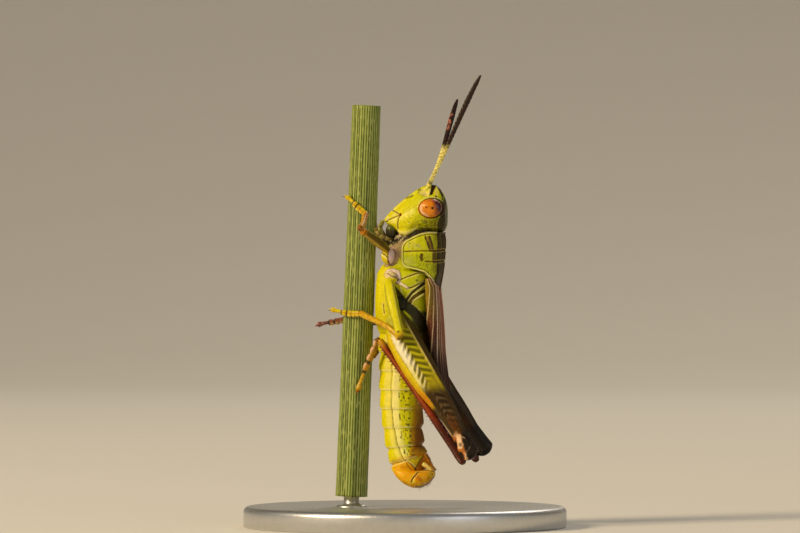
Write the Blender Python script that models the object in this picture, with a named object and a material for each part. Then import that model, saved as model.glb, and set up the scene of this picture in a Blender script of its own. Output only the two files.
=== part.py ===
# A meadow grasshopper clinging to a cut length of rush, on a plain display stand.
# The origin is the middle of the stand's underside and +Z points up.
# The animal climbs: its head is up, its back faces +X, its belly -X and its left side -Y.
# All sizes are millimetres, and the finished meshes are scaled to metres at the very end.

from math import cos, pi, sin, sqrt

import bmesh
import bpy
from mathutils import Matrix, Vector

MILLIMETRE = 0.001
GAP = 0.04                    # clearance left where one piece meets another
SIDES = (("left", -1), ("right", 1))

# stand and perch
BASE_RADIUS = 8.5
BASE_THICKNESS = 1.1
BASE_BEVEL = 0.25
ROD_RADIUS = 0.4
ROD_SUNK = 0.7                # length of rod inside the base
ROD_IN_STEM = 1.6             # length of rod inside the stem
STEM_BOTTOM = (-2.865, 1.6)   # centre X and height of the lower cut
STEM_TOP = (-2.06, 22.2)
STEM_RADII = (0.834, 0.747)

# head: X station, top of the face, underside, half width, how far the face narrows
HEAD_ROWS = (
    (2.24, 16.90, 15.95, 0.35, 0.30),
    (2.16, 17.30, 15.66, 0.62, 0.35),
    (2.00, 17.65, 15.57, 0.85, 0.45),
    (1.70, 17.98, 15.56, 1.08, 0.55),
    (1.30, 18.03, 15.56, 1.20, 0.60),
    (0.90, 17.90, 15.54, 1.20, 0.58),
    (0.50, 17.65, 15.42, 1.16, 0.55),
    (0.10, 17.35, 15.28, 1.06, 0.50),
    (-0.30, 17.01, 15.45, 0.90, 0.42),
    (-0.65, 16.68, 15.75, 0.72, 0.35),
    (-0.95, 16.38, 15.95, 0.50, 0.25),
    (-1.05, 16.28, 16.05, 0.35, 0.20),
)
EYE_CENTRE = (1.53, 0.92, 16.76)
EYE_HALVES = (0.61, 0.37, 0.50)
EYE_TILT = -0.14
MANDIBLE_CENTRE = (-0.66, 0.50, 15.56)
MANDIBLE_HALVES = (0.26, 0.20, 0.30)
LABRUM_ROUTE = ((-1.16, 0.0, 16.12), (-1.31, 0.0, 15.82), (-1.31, 0.0, 15.48), (-1.18, 0.0, 15.20))
LABRUM_HALVES = ((0.10, 0.40), (0.11, 0.46), (0.11, 0.44), (0.09, 0.30))
PALP_ROUTE = ((-0.72, 0.50, 15.22), (-1.12, 0.70, 15.26), (-1.42, 0.72, 15.58), (-1.38, 0.68, 15.90))
PALP_RADIUS = 0.17

# antennae: route of the flagellum from its socket to its tip, for each side
ANTENNA_RADIUS = 0.24
ANTENNA_ROUTES = {
    "left": ((1.32, -0.35, 17.98), (1.97, -0.55, 19.14), (2.74, -0.85, 20.80),
             (3.50, -1.10, 22.32), (4.23, -1.30, 23.72)),
    "right": ((1.32, 0.35, 17.98), (1.47, 1.05, 18.95), (1.85, 1.95, 20.26),
              (1.95, 2.90, 21.53), (2.21, 3.70, 22.58)),
}

# pronotum: a saddle whose section runs from the crest (0) over a keel (0.3) to its lower edge (1)
KEEL = 0.3
PRONOTUM_CREST = ((12.5, 1.85), (13.3, 2.01), (14.0, 2.10), (15.05, 2.16), (15.5, 2.10))
KEEL_HALF_WIDTH = ((12.9, 0.95), (13.2, 0.85), (14.0, 0.60), (14.7, 0.52), (15.5, 0.62))
KEEL_DROP = 0.20
PRONOTUM_FRONT = ((0.0, 15.52), (0.3, 15.52), (0.6, 15.50), (0.8, 15.33), (1.0, 15.02))
PRONOTUM_REAR = ((0.0, 12.48), (0.3, 12.90), (0.45, 13.15), (0.6, 13.42), (0.8, 13.55), (1.0, 13.68))
PRONOTUM_HALF_WIDTH = 1.20
PRONOTUM_EDGE = (-0.05, 1.05)     # X and Y of the lower edge of the side lobe
PRONOTUM_WALL = 0.35
BODY_AXIS_X = 0.55

# trunk: height, belly X, back X, half width
PROTHORAX_ROWS = (
    (15.75, -0.30, 1.50, 0.70),
    (15.05, -0.70, 1.58, 0.78),
    (14.50, -0.90, 1.60, 0.78),
    (13.30, -0.98, 1.50, 0.78),
)
THORAX_ROWS = (
    (13.50, -1.16, 1.42, 1.12),
    (13.17, -1.43, 1.44, 1.20),
    (12.30, -1.53, 1.46, 1.35),
    (11.70, -1.57, 1.48, 1.34),
    (11.00, -1.55, 1.50, 1.30),
    (10.20, -1.45, 1.50, 1.16),
)
THORAX_FRONT_LIFT = 0.35      # how far its belly reaches forward of its back

# wing covers: height against the crest X, lower edge X and half width
TEGMEN_CREST = ((7.0, 2.42), (7.3, 2.37), (8.16, 2.24), (9.34, 2.09), (10.2, 2.05), (11.56, 1.95), (12.5, 1.84))
TEGMEN_EDGE = ((7.0, 2.20), (7.3, 2.02), (8.2, 1.80), (9.3, 1.60), (10.5, 1.50), (11.7, 1.42), (13.1, 1.38))
TEGMEN_WIDTH = ((7.0, 0.40), (7.4, 0.68), (8.0, 0.92), (9.0, 1.15), (10.0, 1.28), (11.5, 1.36), (13.1, 1.32))
TEGMEN_FRONT = ((0.0, 12.44), (0.3, 12.82), (0.6, 13.08), (1.0, 13.10))
TEGMEN_TIP = 7.0
TEGMEN_WALL = 0.40

# abdomen: height, centre X, half depth, half width
ABDOMEN_ROWS = (
    (10.15, 0.03, 1.46, 1.12),
    (9.20, 0.035, 1.40, 1.09),
    (8.20, -0.045, 1.325, 1.06),
    (7.20, -0.115, 1.24, 1.01),
    (6.20, -0.145, 1.155, 0.975),
    (5.22, -0.105, 1.07, 0.94),
    (4.22, 0.03, 1.005, 0.89),
    (3.55, 0.22, 0.94, 0.86),
)
ABDOMEN_JOINTS = (10.15, 9.20, 8.20, 7.20, 6.20, 5.22, 4.22, 3.55)
ABDOMEN_TILTS = ((3.55, 0.33), (4.22, 0.15), (5.22, 0.05), (6.20, 0.0), (10.15, 0.0))
SEGMENT_LIP = 0.03            # each ring of the abdomen is this much wider at its rear edge
TIP_PLATE_ROWS = (            # X, top, bottom, half width
    (-0.71, 3.18, 3.08, 0.20),
    (-0.55, 3.16, 2.82, 0.52),
    (-0.30, 3.13, 2.50, 0.72),
    (0.05, 3.09, 2.22, 0.84),
    (0.55, 3.02, 2.04, 0.86),
    (1.10, 2.94, 2.14, 0.74),
    (1.45, 2.90, 2.45, 0.50),
    (1.62, 2.88, 2.78, 0.22),
)
CERCUS_ROUTE = ((0.98, 0.46, 3.40), (1.32, 0.52, 3.18), (1.56, 0.50, 3.00))
CERCUS_RADII = (0.17, 0.15, 0.08)
EPIPROCT_ROUTE = ((1.12, 0.0, 3.80), (1.34, 0.0, 3.42), (1.50, 0.0, 3.06))

# legs: coxa centre and halves, then routes given for the left side as (X, distance out, Z)
COXAE = {
    "fore": ((-0.76, 0.74, 14.28), (0.40, 0.36, 0.48)),
    "mid": ((-0.52, 1.22, 13.08), (0.38, 0.34, 0.40)),
    "hind": ((-0.05, 1.22, 11.75), (0.50, 0.38, 0.48)),
}
FEMUR_ROUTES = {
    ("fore", "left"): ((-0.80, 0.98, 14.60), (-1.30, 1.80, 15.10), (-1.81, 2.60, 15.58)),
    ("fore", "right"): ((-0.80, 0.98, 14.60), (-1.38, 1.72, 15.12), (-1.95, 2.40, 15.60)),
    ("mid", "left"): ((-0.58, 1.52, 12.88), (-0.25, 2.42, 11.90), (0.24, 2.80, 10.16)),
    ("mid", "right"): ((-0.60, 1.52, 12.88), (-0.45, 2.45, 11.90), (-0.15, 2.80, 10.35)),
}
FEMUR_RADII = {
    "fore": ((0.24, 0.22), (0.28, 0.25), (0.25, 0.24)),
    "mid": ((0.27, 0.25), (0.32, 0.26), (0.28, 0.25)),
}
TIBIA_ROUTES = {
    ("fore", "left"): ((-1.84, 2.62, 15.62), (-1.88, 1.85, 16.06), (-1.90, 1.16, 16.42)),
    ("fore", "right"): ((-1.98, 2.42, 15.64), (-2.00, 1.75, 16.10), (-2.00, 1.16, 16.48)),
    ("mid", "left"): ((0.22, 2.78, 10.18), (-1.00, 2.02, 10.78), (-2.15, 1.14, 11.24)),
    ("mid", "right"): ((-0.18, 2.78, 10.36), (-1.75, 2.05, 10.72), (-3.20, 1.18, 10.95)),
    ("hind", "left"): ((3.46, 2.16, 3.52), (0.92, 1.84, 6.93), (-1.08, 1.36, 9.80)),
    ("hind", "right"): ((3.50, 2.02, 3.52), (0.86, 1.76, 6.88), (-1.14, 1.36, 9.76)),
}
TARSUS_ROUTES = {
    ("fore", "left"): ((-1.93, 1.12, 16.46), (-2.40, 1.00, 16.90), (-2.98, 0.78, 17.37)),
    ("fore", "right"): ((-2.02, 1.12, 16.52), (-2.40, 1.00, 16.92), (-2.80, 0.86, 17.30)),
    ("mid", "left"): ((-2.20, 1.13, 11.25), (-3.00, 1.00, 11.27), (-3.78, 0.82, 11.45)),
    ("mid", "right"): ((-3.25, 1.17, 10.94), (-4.05, 1.04, 10.80), (-4.85, 0.95, 10.63)),
    ("hind", "left"): ((-1.14, 1.32, 9.84), (-1.88, 1.02, 8.40), (-2.34, 1.02, 7.16)),
    ("hind", "right"): ((-1.20, 1.32, 9.80), (-2.10, 1.10, 8.72), (-2.70, 1.04, 7.60)),
}
TIBIA_RADIUS = 0.23
TARSUS_RADIUS = 0.22

# hind thigh: a straight axis from hip to knee, with its outline given from that axis
HIND_THIGHS = {               # hip and knee; the right knee is held a little further back
    "left": ((-0.13, 1.72, 11.37), (3.87, 2.30, 3.90)),
    "right": ((-0.68, 1.62, 11.10), (4.00, 2.10, 3.94)),
}
HIND_FEMUR_ROWS = (           # distance along, back edge, belly edge, half thickness
    (-0.30, 0.02, -0.30, 0.16),
    (0.00, 0.20, -0.62, 0.30),
    (0.60, 0.42, -1.02, 0.42),
    (1.40, 0.50, -1.25, 0.50),
    (2.60, 0.55, -1.25, 0.52),
    (3.90, 0.54, -1.10, 0.46),
    (5.10, 0.49, -0.80, 0.36),
    (6.20, 0.46, -0.57, 0.28),
    (7.20, 0.40, -0.46, 0.26),
    (8.00, 0.47, -0.52, 0.32),
    (8.50, 0.50, -0.55, 0.33),
    (8.82, 0.26, -0.34, 0.20),
)

# flat colours of the finishes, as sRGB bytes, with a roughness and a metallic value
FINISHES = {
    "lime_cuticle": ((190, 195, 35), 0.42, 0.0),
    "yellow_cuticle": ((205, 190, 50), 0.42, 0.0),
    "brown_cuticle": ((120, 80, 40), 0.45, 0.0),
    "eye": ((205, 105, 40), 0.15, 0.0),
    "rush": ((95, 125, 50), 0.55, 0.0),
    "satin_aluminium": ((200, 200, 200), 0.35, 1.0),
}

collection = None


def table_value(rows, place):
    """Read the columns of a table at a place, along a smooth curve through its rows."""
    rows = sorted(rows)
    place = min(max(place, rows[0][0]), rows[-1][0])
    low = max(i for i in range(len(rows) - 1) if rows[i][0] <= place)
    span = rows[low + 1][0] - rows[low][0]
    t = (place - rows[low][0]) / span
    values = []
    for column in range(1, len(rows[0])):
        def slope(i):
            before, after = max(i - 1, 0), min(i + 1, len(rows) - 1)
            return (rows[after][column] - rows[before][column]) / (rows[after][0] - rows[before][0])
        start, end = rows[low][column], rows[low + 1][column]
        values.append(start * (1 + 2 * t) * (1 - t) ** 2 + end * t * t * (3 - 2 * t)
                      + span * (slope(low) * t * (1 - t) ** 2 - slope(low + 1) * t * t * (1 - t)))
    return values[0] if len(values) == 1 else values


def signed_power(value, power):
    return (1 if value >= 0 else -1) * abs(value) ** power


def mirrored(point, sign):
    """A point given as (X, distance out, Z), on the left (-1) or the right (+1)."""
    return Vector((point[0], sign * point[1], point[2]))


def add_object(name, shape, finish):
    """Turn a bmesh into an object of its own finish, closed and facing out."""
    bmesh.ops.triangulate(shape, faces=shape.faces[:])
    bmesh.ops.recalc_face_normals(shape, faces=shape.faces[:])
    mesh = bpy.data.meshes.new(name)
    shape.to_mesh(mesh)
    shape.free()
    mesh.materials.append(get_material(finish))
    piece = bpy.data.objects.new(name, mesh)
    collection.objects.link(piece)
    return piece


def get_material(finish):
    if finish in bpy.data.materials:
        return bpy.data.materials[finish]
    colour, roughness, metallic = FINISHES[finish]
    material = bpy.data.materials.new(finish)
    material.use_nodes = True
    shader = material.node_tree.nodes["Principled BSDF"]
    linear = [(byte / 255) ** 2.2 for byte in colour]
    shader.inputs["Base Color"].default_value = (*linear, 1.0)
    shader.inputs["Roughness"].default_value = roughness
    shader.inputs["Metallic"].default_value = metallic
    return material


def loft(name, rings, finish):
    """Skin a row of rings with equal even numbers of points, and close both ends with a strip."""
    shape = bmesh.new()
    loops = [[shape.verts.new(point) for point in ring] for ring in rings]
    for near, far in zip(loops, loops[1:]):
        for k in range(len(near)):
            after = (k + 1) % len(near)
            shape.faces.new((near[k], near[after], far[after], far[k]))
    for end in (loops[0][::-1], loops[-1]):
        for k in range(len(end) // 2 - 1):
            shape.faces.new((end[k], end[k + 1], end[-k - 2], end[-k - 1]))
    return add_object(name, shape, finish)


def ellipsoid(name, centre, halves, finish, tilt=0.0, segments=12, rings=8):
    """A sphere scaled to its three half sizes and turned about Y."""
    shape = bmesh.new()
    bmesh.ops.create_uvsphere(shape, u_segments=segments, v_segments=rings, radius=1.0)
    placed = (Matrix.Translation(centre) @ Matrix.Rotation(tilt, 4, "Y")
              @ Matrix.Diagonal((*halves, 1.0)))
    bmesh.ops.transform(shape, matrix=placed, verts=shape.verts[:])
    return add_object(name, shape, finish)


def limb(name, stops, finish, sides=8):
    """A tube with its own depth and width at each stop, and a shoulder at either end."""
    points = [Vector(stop[0]) for stop in stops]
    ways = []
    for i in range(len(points)):
        way = points[min(i + 1, len(points) - 1)] - points[max(i - 1, 0)]
        ways.append(way.normalized())
    rows = [(points[0] - ways[0] * 0.35 * stops[0][1], ways[0], stops[0][1] * 0.62, stops[0][2] * 0.62)]
    rows += [(points[i], ways[i], stops[i][1], stops[i][2]) for i in range(len(stops))]
    rows.append((points[-1] + ways[-1] * 0.35 * stops[-1][1], ways[-1],
                 stops[-1][1] * 0.62, stops[-1][2] * 0.62))
    rings = []
    for point, way, deep, wide in rows:
        side = Vector((0.0, 1.0, 0.0))
        across = way.cross(side).normalized()
        out = across.cross(way).normalized()
        rings.append([point + across * deep * cos(2 * pi * k / sides) + out * wide * sin(2 * pi * k / sides)
                      for k in range(sides)])
    return loft(name, rings, finish)


def route_point(route, part):
    """A point at a part (0 to 1) of the way along a smooth route."""
    rows = [(i / (len(route) - 1), *point) for i, point in enumerate(route)]
    return Vector(table_value(rows, part))


def keep_largest(mesh):
    """Drop the loose crumbs that a cut can leave."""
    shape = bmesh.new()
    shape.from_mesh(mesh)
    bmesh.ops.remove_doubles(shape, verts=shape.verts[:], dist=1e-4)
    bmesh.ops.dissolve_degenerate(shape, edges=shape.edges[:], dist=1e-4)
    unseen = set(shape.faces)
    islands = []
    while unseen:
        stack = [unseen.pop()]
        island = []
        while stack:
            face = stack.pop()
            island.append(face)
            for edge in face.edges:
                for other in edge.link_faces:
                    if other in unseen:
                        unseen.remove(other)
                        stack.append(other)
        islands.append(island)
    islands.sort(key=lambda island: sum(face.calc_area() for face in island))
    for island in islands[:-1]:
        bmesh.ops.delete(shape, geom=island, context="FACES")
    bmesh.ops.triangulate(shape, faces=shape.faces[:])
    shape.to_mesh(mesh)
    shape.free()


def swollen_copy(piece, gap, cutters):
    """A copy of a piece pushed out along its normals, to be used as a cutter."""
    shape = bmesh.new()
    shape.from_mesh(piece.data)
    shape.normal_update()
    for vert in shape.verts:
        vert.co += vert.normal * gap
    mesh = bpy.data.meshes.new(piece.name + "_cutter")
    shape.to_mesh(mesh)
    shape.free()
    cutter = bpy.data.objects.new(mesh.name, mesh)
    cutter.hide_render = True
    cutter.display_type = "WIRE"
    cutters.objects.link(cutter)
    return cutter


def carve(target, *others, gap=GAP):
    """Cut a piece back so that it clears its neighbours by the gap."""
    cutters = bpy.data.collections["cutters"]
    tools = [swollen_copy(other, gap, cutters) for other in others]
    for tool in tools:
        cut = target.modifiers.new("clearance", "BOOLEAN")
        cut.operation = "DIFFERENCE"
        cut.solver = "EXACT"
        cut.object = tool
    bpy.context.view_layer.update()
    depsgraph = bpy.context.evaluated_depsgraph_get()
    mesh = bpy.data.meshes.new_from_object(target.evaluated_get(depsgraph))
    keep_largest(mesh)
    target.modifiers.clear()
    target.data = mesh
    for tool in tools:
        bpy.data.objects.remove(tool)


def make_head():
    """The capsule, lofted along X from the back of the head to the mouth."""
    rings = []
    stations = 15
    points = 18
    for i in range(stations):
        x = HEAD_ROWS[0][0] + (HEAD_ROWS[-1][0] - HEAD_ROWS[0][0]) * (0.5 - 0.5 * cos(pi * i / (stations - 1)))
        top, bottom, half_width, narrow = table_value(HEAD_ROWS, x)
        ring = []
        for k in range(points):
            angle = 2 * pi * k / points
            height = (1 - cos(angle)) / 2
            y = half_width * signed_power(sin(angle), 0.75) * (1 - narrow * height * height)
            ring.append((x, y, bottom + (top - bottom) * height))
        rings.append(ring)
    return loft("head", rings, "lime_cuticle")


def make_labrum():
    """The upper lip: a broad plate that hangs from the foot of the face."""
    stops = [(point, deep, wide) for point, (deep, wide) in zip(LABRUM_ROUTE, LABRUM_HALVES)]
    return limb("labrum", stops, "lime_cuticle", sides=10)


def make_pronotum():
    """The saddle behind the head: a wall of even thickness round an open belly side."""
    spread = (0.0, 0.15, 0.3, 0.45, 0.6, 0.75, 0.9, 1.0)
    across = [-t for t in spread[:0:-1]] + list(spread)
    slices = 8
    rings = []
    for j in range(slices):
        s = j / (slices - 1)
        outer = []
        for t in across:
            place = abs(t)
            z = (1 - s) * table_value(PRONOTUM_FRONT, place) + s * table_value(PRONOTUM_REAR, place)
            outer.append(Vector((*pronotum_section(place, z, s), z)))
            outer[-1].y *= 1 if t >= 0 else -1
        inner = []
        for point in outer:
            inward = Vector((BODY_AXIS_X - point.x, -point.y, 0.0)).normalized()
            inner.append(point + inward * PRONOTUM_WALL)
        rings.append(outer + inner[::-1])
    return loft("pronotum", rings, "lime_cuticle")


def pronotum_section(place, z, s):
    """X and Y on the outside of the saddle, from the crest (0) to the lower edge (1)."""
    crest = table_value(PRONOTUM_CREST, z)
    keel = Vector((crest - KEEL_DROP, table_value(KEEL_HALF_WIDTH, z)))
    if place <= KEEL:
        part = place / KEEL
        return crest - KEEL_DROP * part ** 1.6, keel.y * part
    u = (place - KEEL) / (1 - KEEL)
    edge = Vector((PRONOTUM_EDGE[0] + 0.2 * (2 * s - 1) ** 2, PRONOTUM_EDGE[1]))
    shoulder = Vector((keel.x - 0.35, PRONOTUM_HALF_WIDTH - 0.02))
    flank = Vector((edge.x + 0.7, PRONOTUM_HALF_WIDTH + 0.08))
    return tuple(keel * (1 - u) ** 3 + shoulder * 3 * u * (1 - u) ** 2
                 + flank * 3 * u * u * (1 - u) + edge * u ** 3)


def make_trunk(name, rows, stations, lift, finish):
    """A length of the trunk, flat below and narrower along the back."""
    rings = []
    points = 18
    for i in range(stations):
        z = rows[0][0] + (rows[-1][0] - rows[0][0]) * i / (stations - 1)
        belly, back, half_width = table_value(rows, z)
        middle, half = (belly + back) / 2, (back - belly) / 2
        ring = []
        for k in range(points):
            angle = 2 * pi * k / points
            x = middle + half * signed_power(cos(angle), 0.8)
            y = half_width * signed_power(sin(angle), 0.75) * (1 - 0.22 * max(0.0, cos(angle)) ** 2)
            forward = lift * max(0.0, -cos(angle)) * (1 - i / (stations - 1))
            ring.append((x, y, z + forward))
        rings.append(ring)
    return loft(name, rings, finish)


def make_tegmen(side, sign):
    """A wing cover: its half of the roof over the back, thin at both long edges."""
    across = (0.0, 0.12, 0.28, 0.45, 0.62, 0.8, 1.0)
    slices = 11
    rings = []
    for j in range(slices):
        s = j / (slices - 1)
        outer, inner = [], []
        for t in across:
            z = (1 - s) * table_value(TEGMEN_FRONT, t) + s * TEGMEN_TIP
            crest, edge = table_value(TEGMEN_CREST, z), table_value(TEGMEN_EDGE, z)
            width = table_value(TEGMEN_WIDTH, z)
            cage = (Vector((crest, GAP / 2)), Vector((crest - 0.02, 0.75 * width)),
                    Vector((crest - 0.25, 1.05 * width)), Vector((edge, width)))
            point = (cage[0] * (1 - t) ** 3 + cage[1] * 3 * t * (1 - t) ** 2
                     + cage[2] * 3 * t * t * (1 - t) + cage[3] * t ** 3)
            wall = TEGMEN_WALL * (0.45 + 0.55 * sin(pi * t)) * (1 - 0.6 * s ** 2)
            inward = Vector((-1.0, -0.9 * t)).normalized()
            under = point + inward * wall
            outer.append((point.x, sign * point.y, z))
            inner.append((under.x, sign * max(under.y, GAP / 2), z))
        rings.append(outer + inner[::-1])
    return loft("tegmen_" + side, rings, "brown_cuticle")


def abdomen_ring(z, scale):
    """One ring round the abdomen, tilted more and more towards its tip."""
    centre, half_depth, half_width = table_value(ABDOMEN_ROWS, z)
    tilt = table_value(ABDOMEN_TILTS, z)
    ring = []
    points = 16
    for k in range(points):
        angle = 2 * pi * k / points
        reach = half_depth * scale * cos(angle)
        y = half_width * scale * signed_power(sin(angle), 0.85) * (1 - 0.2 * max(0.0, cos(angle)) ** 2)
        ring.append((centre + reach, y, z + tilt * reach))
    return ring


def make_abdomen():
    """Seven rings that overlap like roof tiles, then the wedge that carries the tip."""
    segments = []
    for i, (front, rear) in enumerate(zip(ABDOMEN_JOINTS, ABDOMEN_JOINTS[1:])):
        start, end = front - GAP / 2, rear + GAP / 2
        stations = ((0.0, 0.955), (0.12, 1 - SEGMENT_LIP), (0.93, 1.0 + SEGMENT_LIP / 2), (1.0, 0.965))
        rings = [abdomen_ring(start + (end - start) * part, scale) for part, scale in stations]
        segments.append(loft(f"abdomen_{i + 1}", rings, "yellow_cuticle"))
    upper = abdomen_ring(ABDOMEN_JOINTS[-1] - GAP / 2, 0.96)
    lower = [(x * 0.92 + 0.0, y * 0.9, 3.16 - 0.13 * (x + 0.72) + 0.04) for x, y, z in upper]
    middle = [((a[0] + b[0]) / 2, (a[1] + b[1]) / 2 * 1.03, (a[2] + b[2]) / 2) for a, b in zip(upper, lower)]
    segments.append(loft("abdomen_8", [upper, middle, lower], "yellow_cuticle"))
    return segments


def make_tip_plate():
    """The scoop that closes a male's abdomen from below."""
    rings = []
    points = 14
    for i in range(9):
        x = TIP_PLATE_ROWS[0][0] + (TIP_PLATE_ROWS[-1][0] - TIP_PLATE_ROWS[0][0]) * (0.5 - 0.5 * cos(pi * i / 8))
        top, bottom, half_width = table_value(TIP_PLATE_ROWS, x)
        middle, half = (top + bottom) / 2, (top - bottom) / 2
        ring = []
        for k in range(points):
            angle = 2 * pi * k / points
            rise = sin(angle) if sin(angle) < 0 else signed_power(sin(angle), 0.4)
            ring.append((x, half_width * signed_power(cos(angle), 0.8), middle + half * rise))
        rings.append(ring)
    return loft("subgenital_plate", rings, "yellow_cuticle")


def make_hind_femur(side, sign):
    """The jumping thigh: ridged along its middle, deep near the hip and slim before the knee."""
    hip, knee = (mirrored(point, sign) for point in HIND_THIGHS[side])
    way = (knee - hip).normalized()
    up = Vector((-way.z, 0.0, way.x))
    up.normalize()
    out = Vector((0.0, float(sign), 0.0))
    first, last = HIND_FEMUR_ROWS[0][0], HIND_FEMUR_ROWS[-1][0]
    stations = 15
    points = 12
    rings = []
    for i in range(stations):
        place = first + (last - first) * (0.5 - 0.5 * cos(pi * i / (stations - 1)))
        back, belly, half_thick = table_value(HIND_FEMUR_ROWS, place)
        middle, half = (back + belly) / 2, (back - belly) / 2
        ring = []
        for k in range(points):
            angle = 2 * pi * k / points
            ring.append(hip + way * place + up * (middle + half * signed_power(cos(angle), 1.0))
                        + out * half_thick * signed_power(sin(angle), 1.15))
        rings.append(ring)
    return loft("hind_femur_" + side, rings, "lime_cuticle")


def make_tarsus(name, route):
    """A foot of three short joints and a broad claw pad."""
    beads = ((0.0, 0.85), (0.20, 1.05), (0.36, 0.80), (0.50, 1.05), (0.62, 0.80), (0.90, 1.10), (1.0, 0.90))
    stops = [(route_point(route, part), TARSUS_RADIUS * size, TARSUS_RADIUS * size) for part, size in beads]
    return limb(name, stops, "yellow_cuticle", sides=6)


def make_leg(pair, side, sign, pieces):
    """Coxa, femur, tibia and tarsus of one leg."""
    centre, halves = COXAE[pair]
    coxa = ellipsoid(f"{pair}_coxa_{side}", mirrored(centre, sign), halves, "lime_cuticle", segments=10, rings=6)
    if pair == "hind":
        femur = make_hind_femur(side, sign)
    else:
        route = [mirrored(point, sign) for point in FEMUR_ROUTES[pair, side]]
        radii = FEMUR_RADII[pair]
        parts = (0.0, 0.2, 0.5, 0.8, 1.0)
        rows = [(i / 2, *pair_of) for i, pair_of in enumerate(radii)]
        stops = [(route_point(route, part), *table_value(rows, part)) for part in parts]
        femur = limb(f"{pair}_femur_{side}", stops, "lime_cuticle")
    route = [mirrored(point, sign) for point in TIBIA_ROUTES[pair, side]]
    steps = 5 if pair == "hind" else 3
    stops = [(route_point(route, i / (steps - 1)), TIBIA_RADIUS, TIBIA_RADIUS) for i in range(steps)]
    tibia = limb(f"{pair}_tibia_{side}", stops, "brown_cuticle")
    tarsus = make_tarsus(f"{pair}_tarsus_{side}", [mirrored(point, sign) for point in TARSUS_ROUTES[pair, side]])
    pieces.update({piece.name: piece for piece in (coxa, femur, tibia, tarsus)})


def make_antenna(side, sign, pieces):
    """The socket joint and the long flagellum, a little clubbed before its tip."""
    route = ANTENNA_ROUTES[side]
    start, along = Vector(route[0]), (Vector(route[1]) - Vector(route[0])).normalized()
    stops = [(start - along * 0.25, 0.27, 0.27), (start, 0.28, 0.28), (start + along * 0.22, 0.26, 0.26)]
    pieces[f"antenna_base_{side}"] = limb(f"antenna_base_{side}", stops, "lime_cuticle")
    profile = ((0.0, 0.92), (0.5, 1.0), (0.85, 1.08), (1.0, 0.8))
    stops = []
    for i in range(9):
        part = 0.055 + 0.945 * i / 8
        radius = ANTENNA_RADIUS * table_value(profile, part)
        stops.append((route_point(route, part), radius, radius))
    pieces[f"antenna_{side}"] = limb(f"antenna_{side}", stops, "brown_cuticle", sides=6)


def make_stand(pieces):
    """The flat round base and the rod that runs up into the stem."""
    shape = bmesh.new()
    bmesh.ops.create_cone(shape, cap_ends=True, segments=48, radius1=BASE_RADIUS, radius2=BASE_RADIUS,
                          depth=BASE_THICKNESS, matrix=Matrix.Translation((0, 0, BASE_THICKNESS / 2)))
    rim = [edge for edge in shape.edges if len({round(vert.co.z, 3) for vert in edge.verts}) == 1]
    top = [edge for edge in rim if edge.verts[0].co.z > BASE_THICKNESS / 2]
    bmesh.ops.bevel(shape, geom=top, offset=BASE_BEVEL, segments=1, profile=0.5, affect="EDGES",
                    material=-1)
    pieces["stand_base"] = add_object("stand_base", shape, "satin_aluminium")
    low = BASE_THICKNESS - ROD_SUNK
    high = STEM_BOTTOM[1] + ROD_IN_STEM
    shape = bmesh.new()
    bmesh.ops.create_cone(shape, cap_ends=True, segments=20, radius1=ROD_RADIUS, radius2=ROD_RADIUS,
                          depth=high - low, matrix=Matrix.Translation((STEM_BOTTOM[0], 0, (low + high) / 2)))
    pieces["stand_rod"] = add_object("stand_rod", shape, "satin_aluminium")


def make_stem(pieces):
    """A straight, slightly leaning and tapering length of rush, cut square at both ends."""
    bottom = Vector((STEM_BOTTOM[0], 0.0, STEM_BOTTOM[1]))
    top = Vector((STEM_TOP[0], 0.0, STEM_TOP[1]))
    way = (top - bottom).normalized()
    across = Vector((way.z, 0.0, -way.x))
    rings = []
    for centre, radius in zip((bottom, top), STEM_RADII):
        rings.append([centre + (across * cos(2 * pi * k / 24) + Vector((0, 1, 0)) * sin(2 * pi * k / 24)) * radius
                      for k in range(24)])
    pieces["perch_stem"] = loft("perch_stem", rings, "rush")


def make_all(pieces):
    """Every solid at its full shape, before neighbours are cut to clear one another."""
    make_stand(pieces)
    make_stem(pieces)
    pieces["head"] = make_head()
    pieces["labrum"] = make_labrum()
    pieces["pronotum"] = make_pronotum()
    pieces["prothorax"] = make_trunk("prothorax", PROTHORAX_ROWS, 6, 0.0, "lime_cuticle")
    pieces["thorax"] = make_trunk("thorax", THORAX_ROWS, 9, THORAX_FRONT_LIFT, "lime_cuticle")
    for segment in make_abdomen():
        pieces[segment.name] = segment
    pieces["subgenital_plate"] = make_tip_plate()
    stops = [(point, 0.10, width) for point, width in zip(EPIPROCT_ROUTE, (0.42, 0.34, 0.16))]
    pieces["epiproct"] = limb("epiproct", stops, "yellow_cuticle", sides=10)
    for side, sign in SIDES:
        pieces["eye_" + side] = ellipsoid("eye_" + side, mirrored(EYE_CENTRE, sign), EYE_HALVES, "eye",
                                          tilt=EYE_TILT, segments=14, rings=8)
        pieces["mandible_" + side] = ellipsoid("mandible_" + side, mirrored(MANDIBLE_CENTRE, sign),
                                               MANDIBLE_HALVES, "brown_cuticle", segments=8, rings=6)
        stops = [(mirrored(point, sign), PALP_RADIUS, PALP_RADIUS) for point in PALP_ROUTE]
        pieces["palp_" + side] = limb("palp_" + side, stops, "brown_cuticle")
        make_antenna(side, sign, pieces)
        pieces["tegmen_" + side] = make_tegmen(side, sign)
        stops = [(mirrored(point, sign), r, r) for point, r in zip(CERCUS_ROUTE, CERCUS_RADII)]
        pieces["cercus_" + side] = limb("cercus_" + side, stops, "yellow_cuticle", sides=6)
        for pair in COXAE:
            make_leg(pair, side, sign, pieces)


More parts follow.
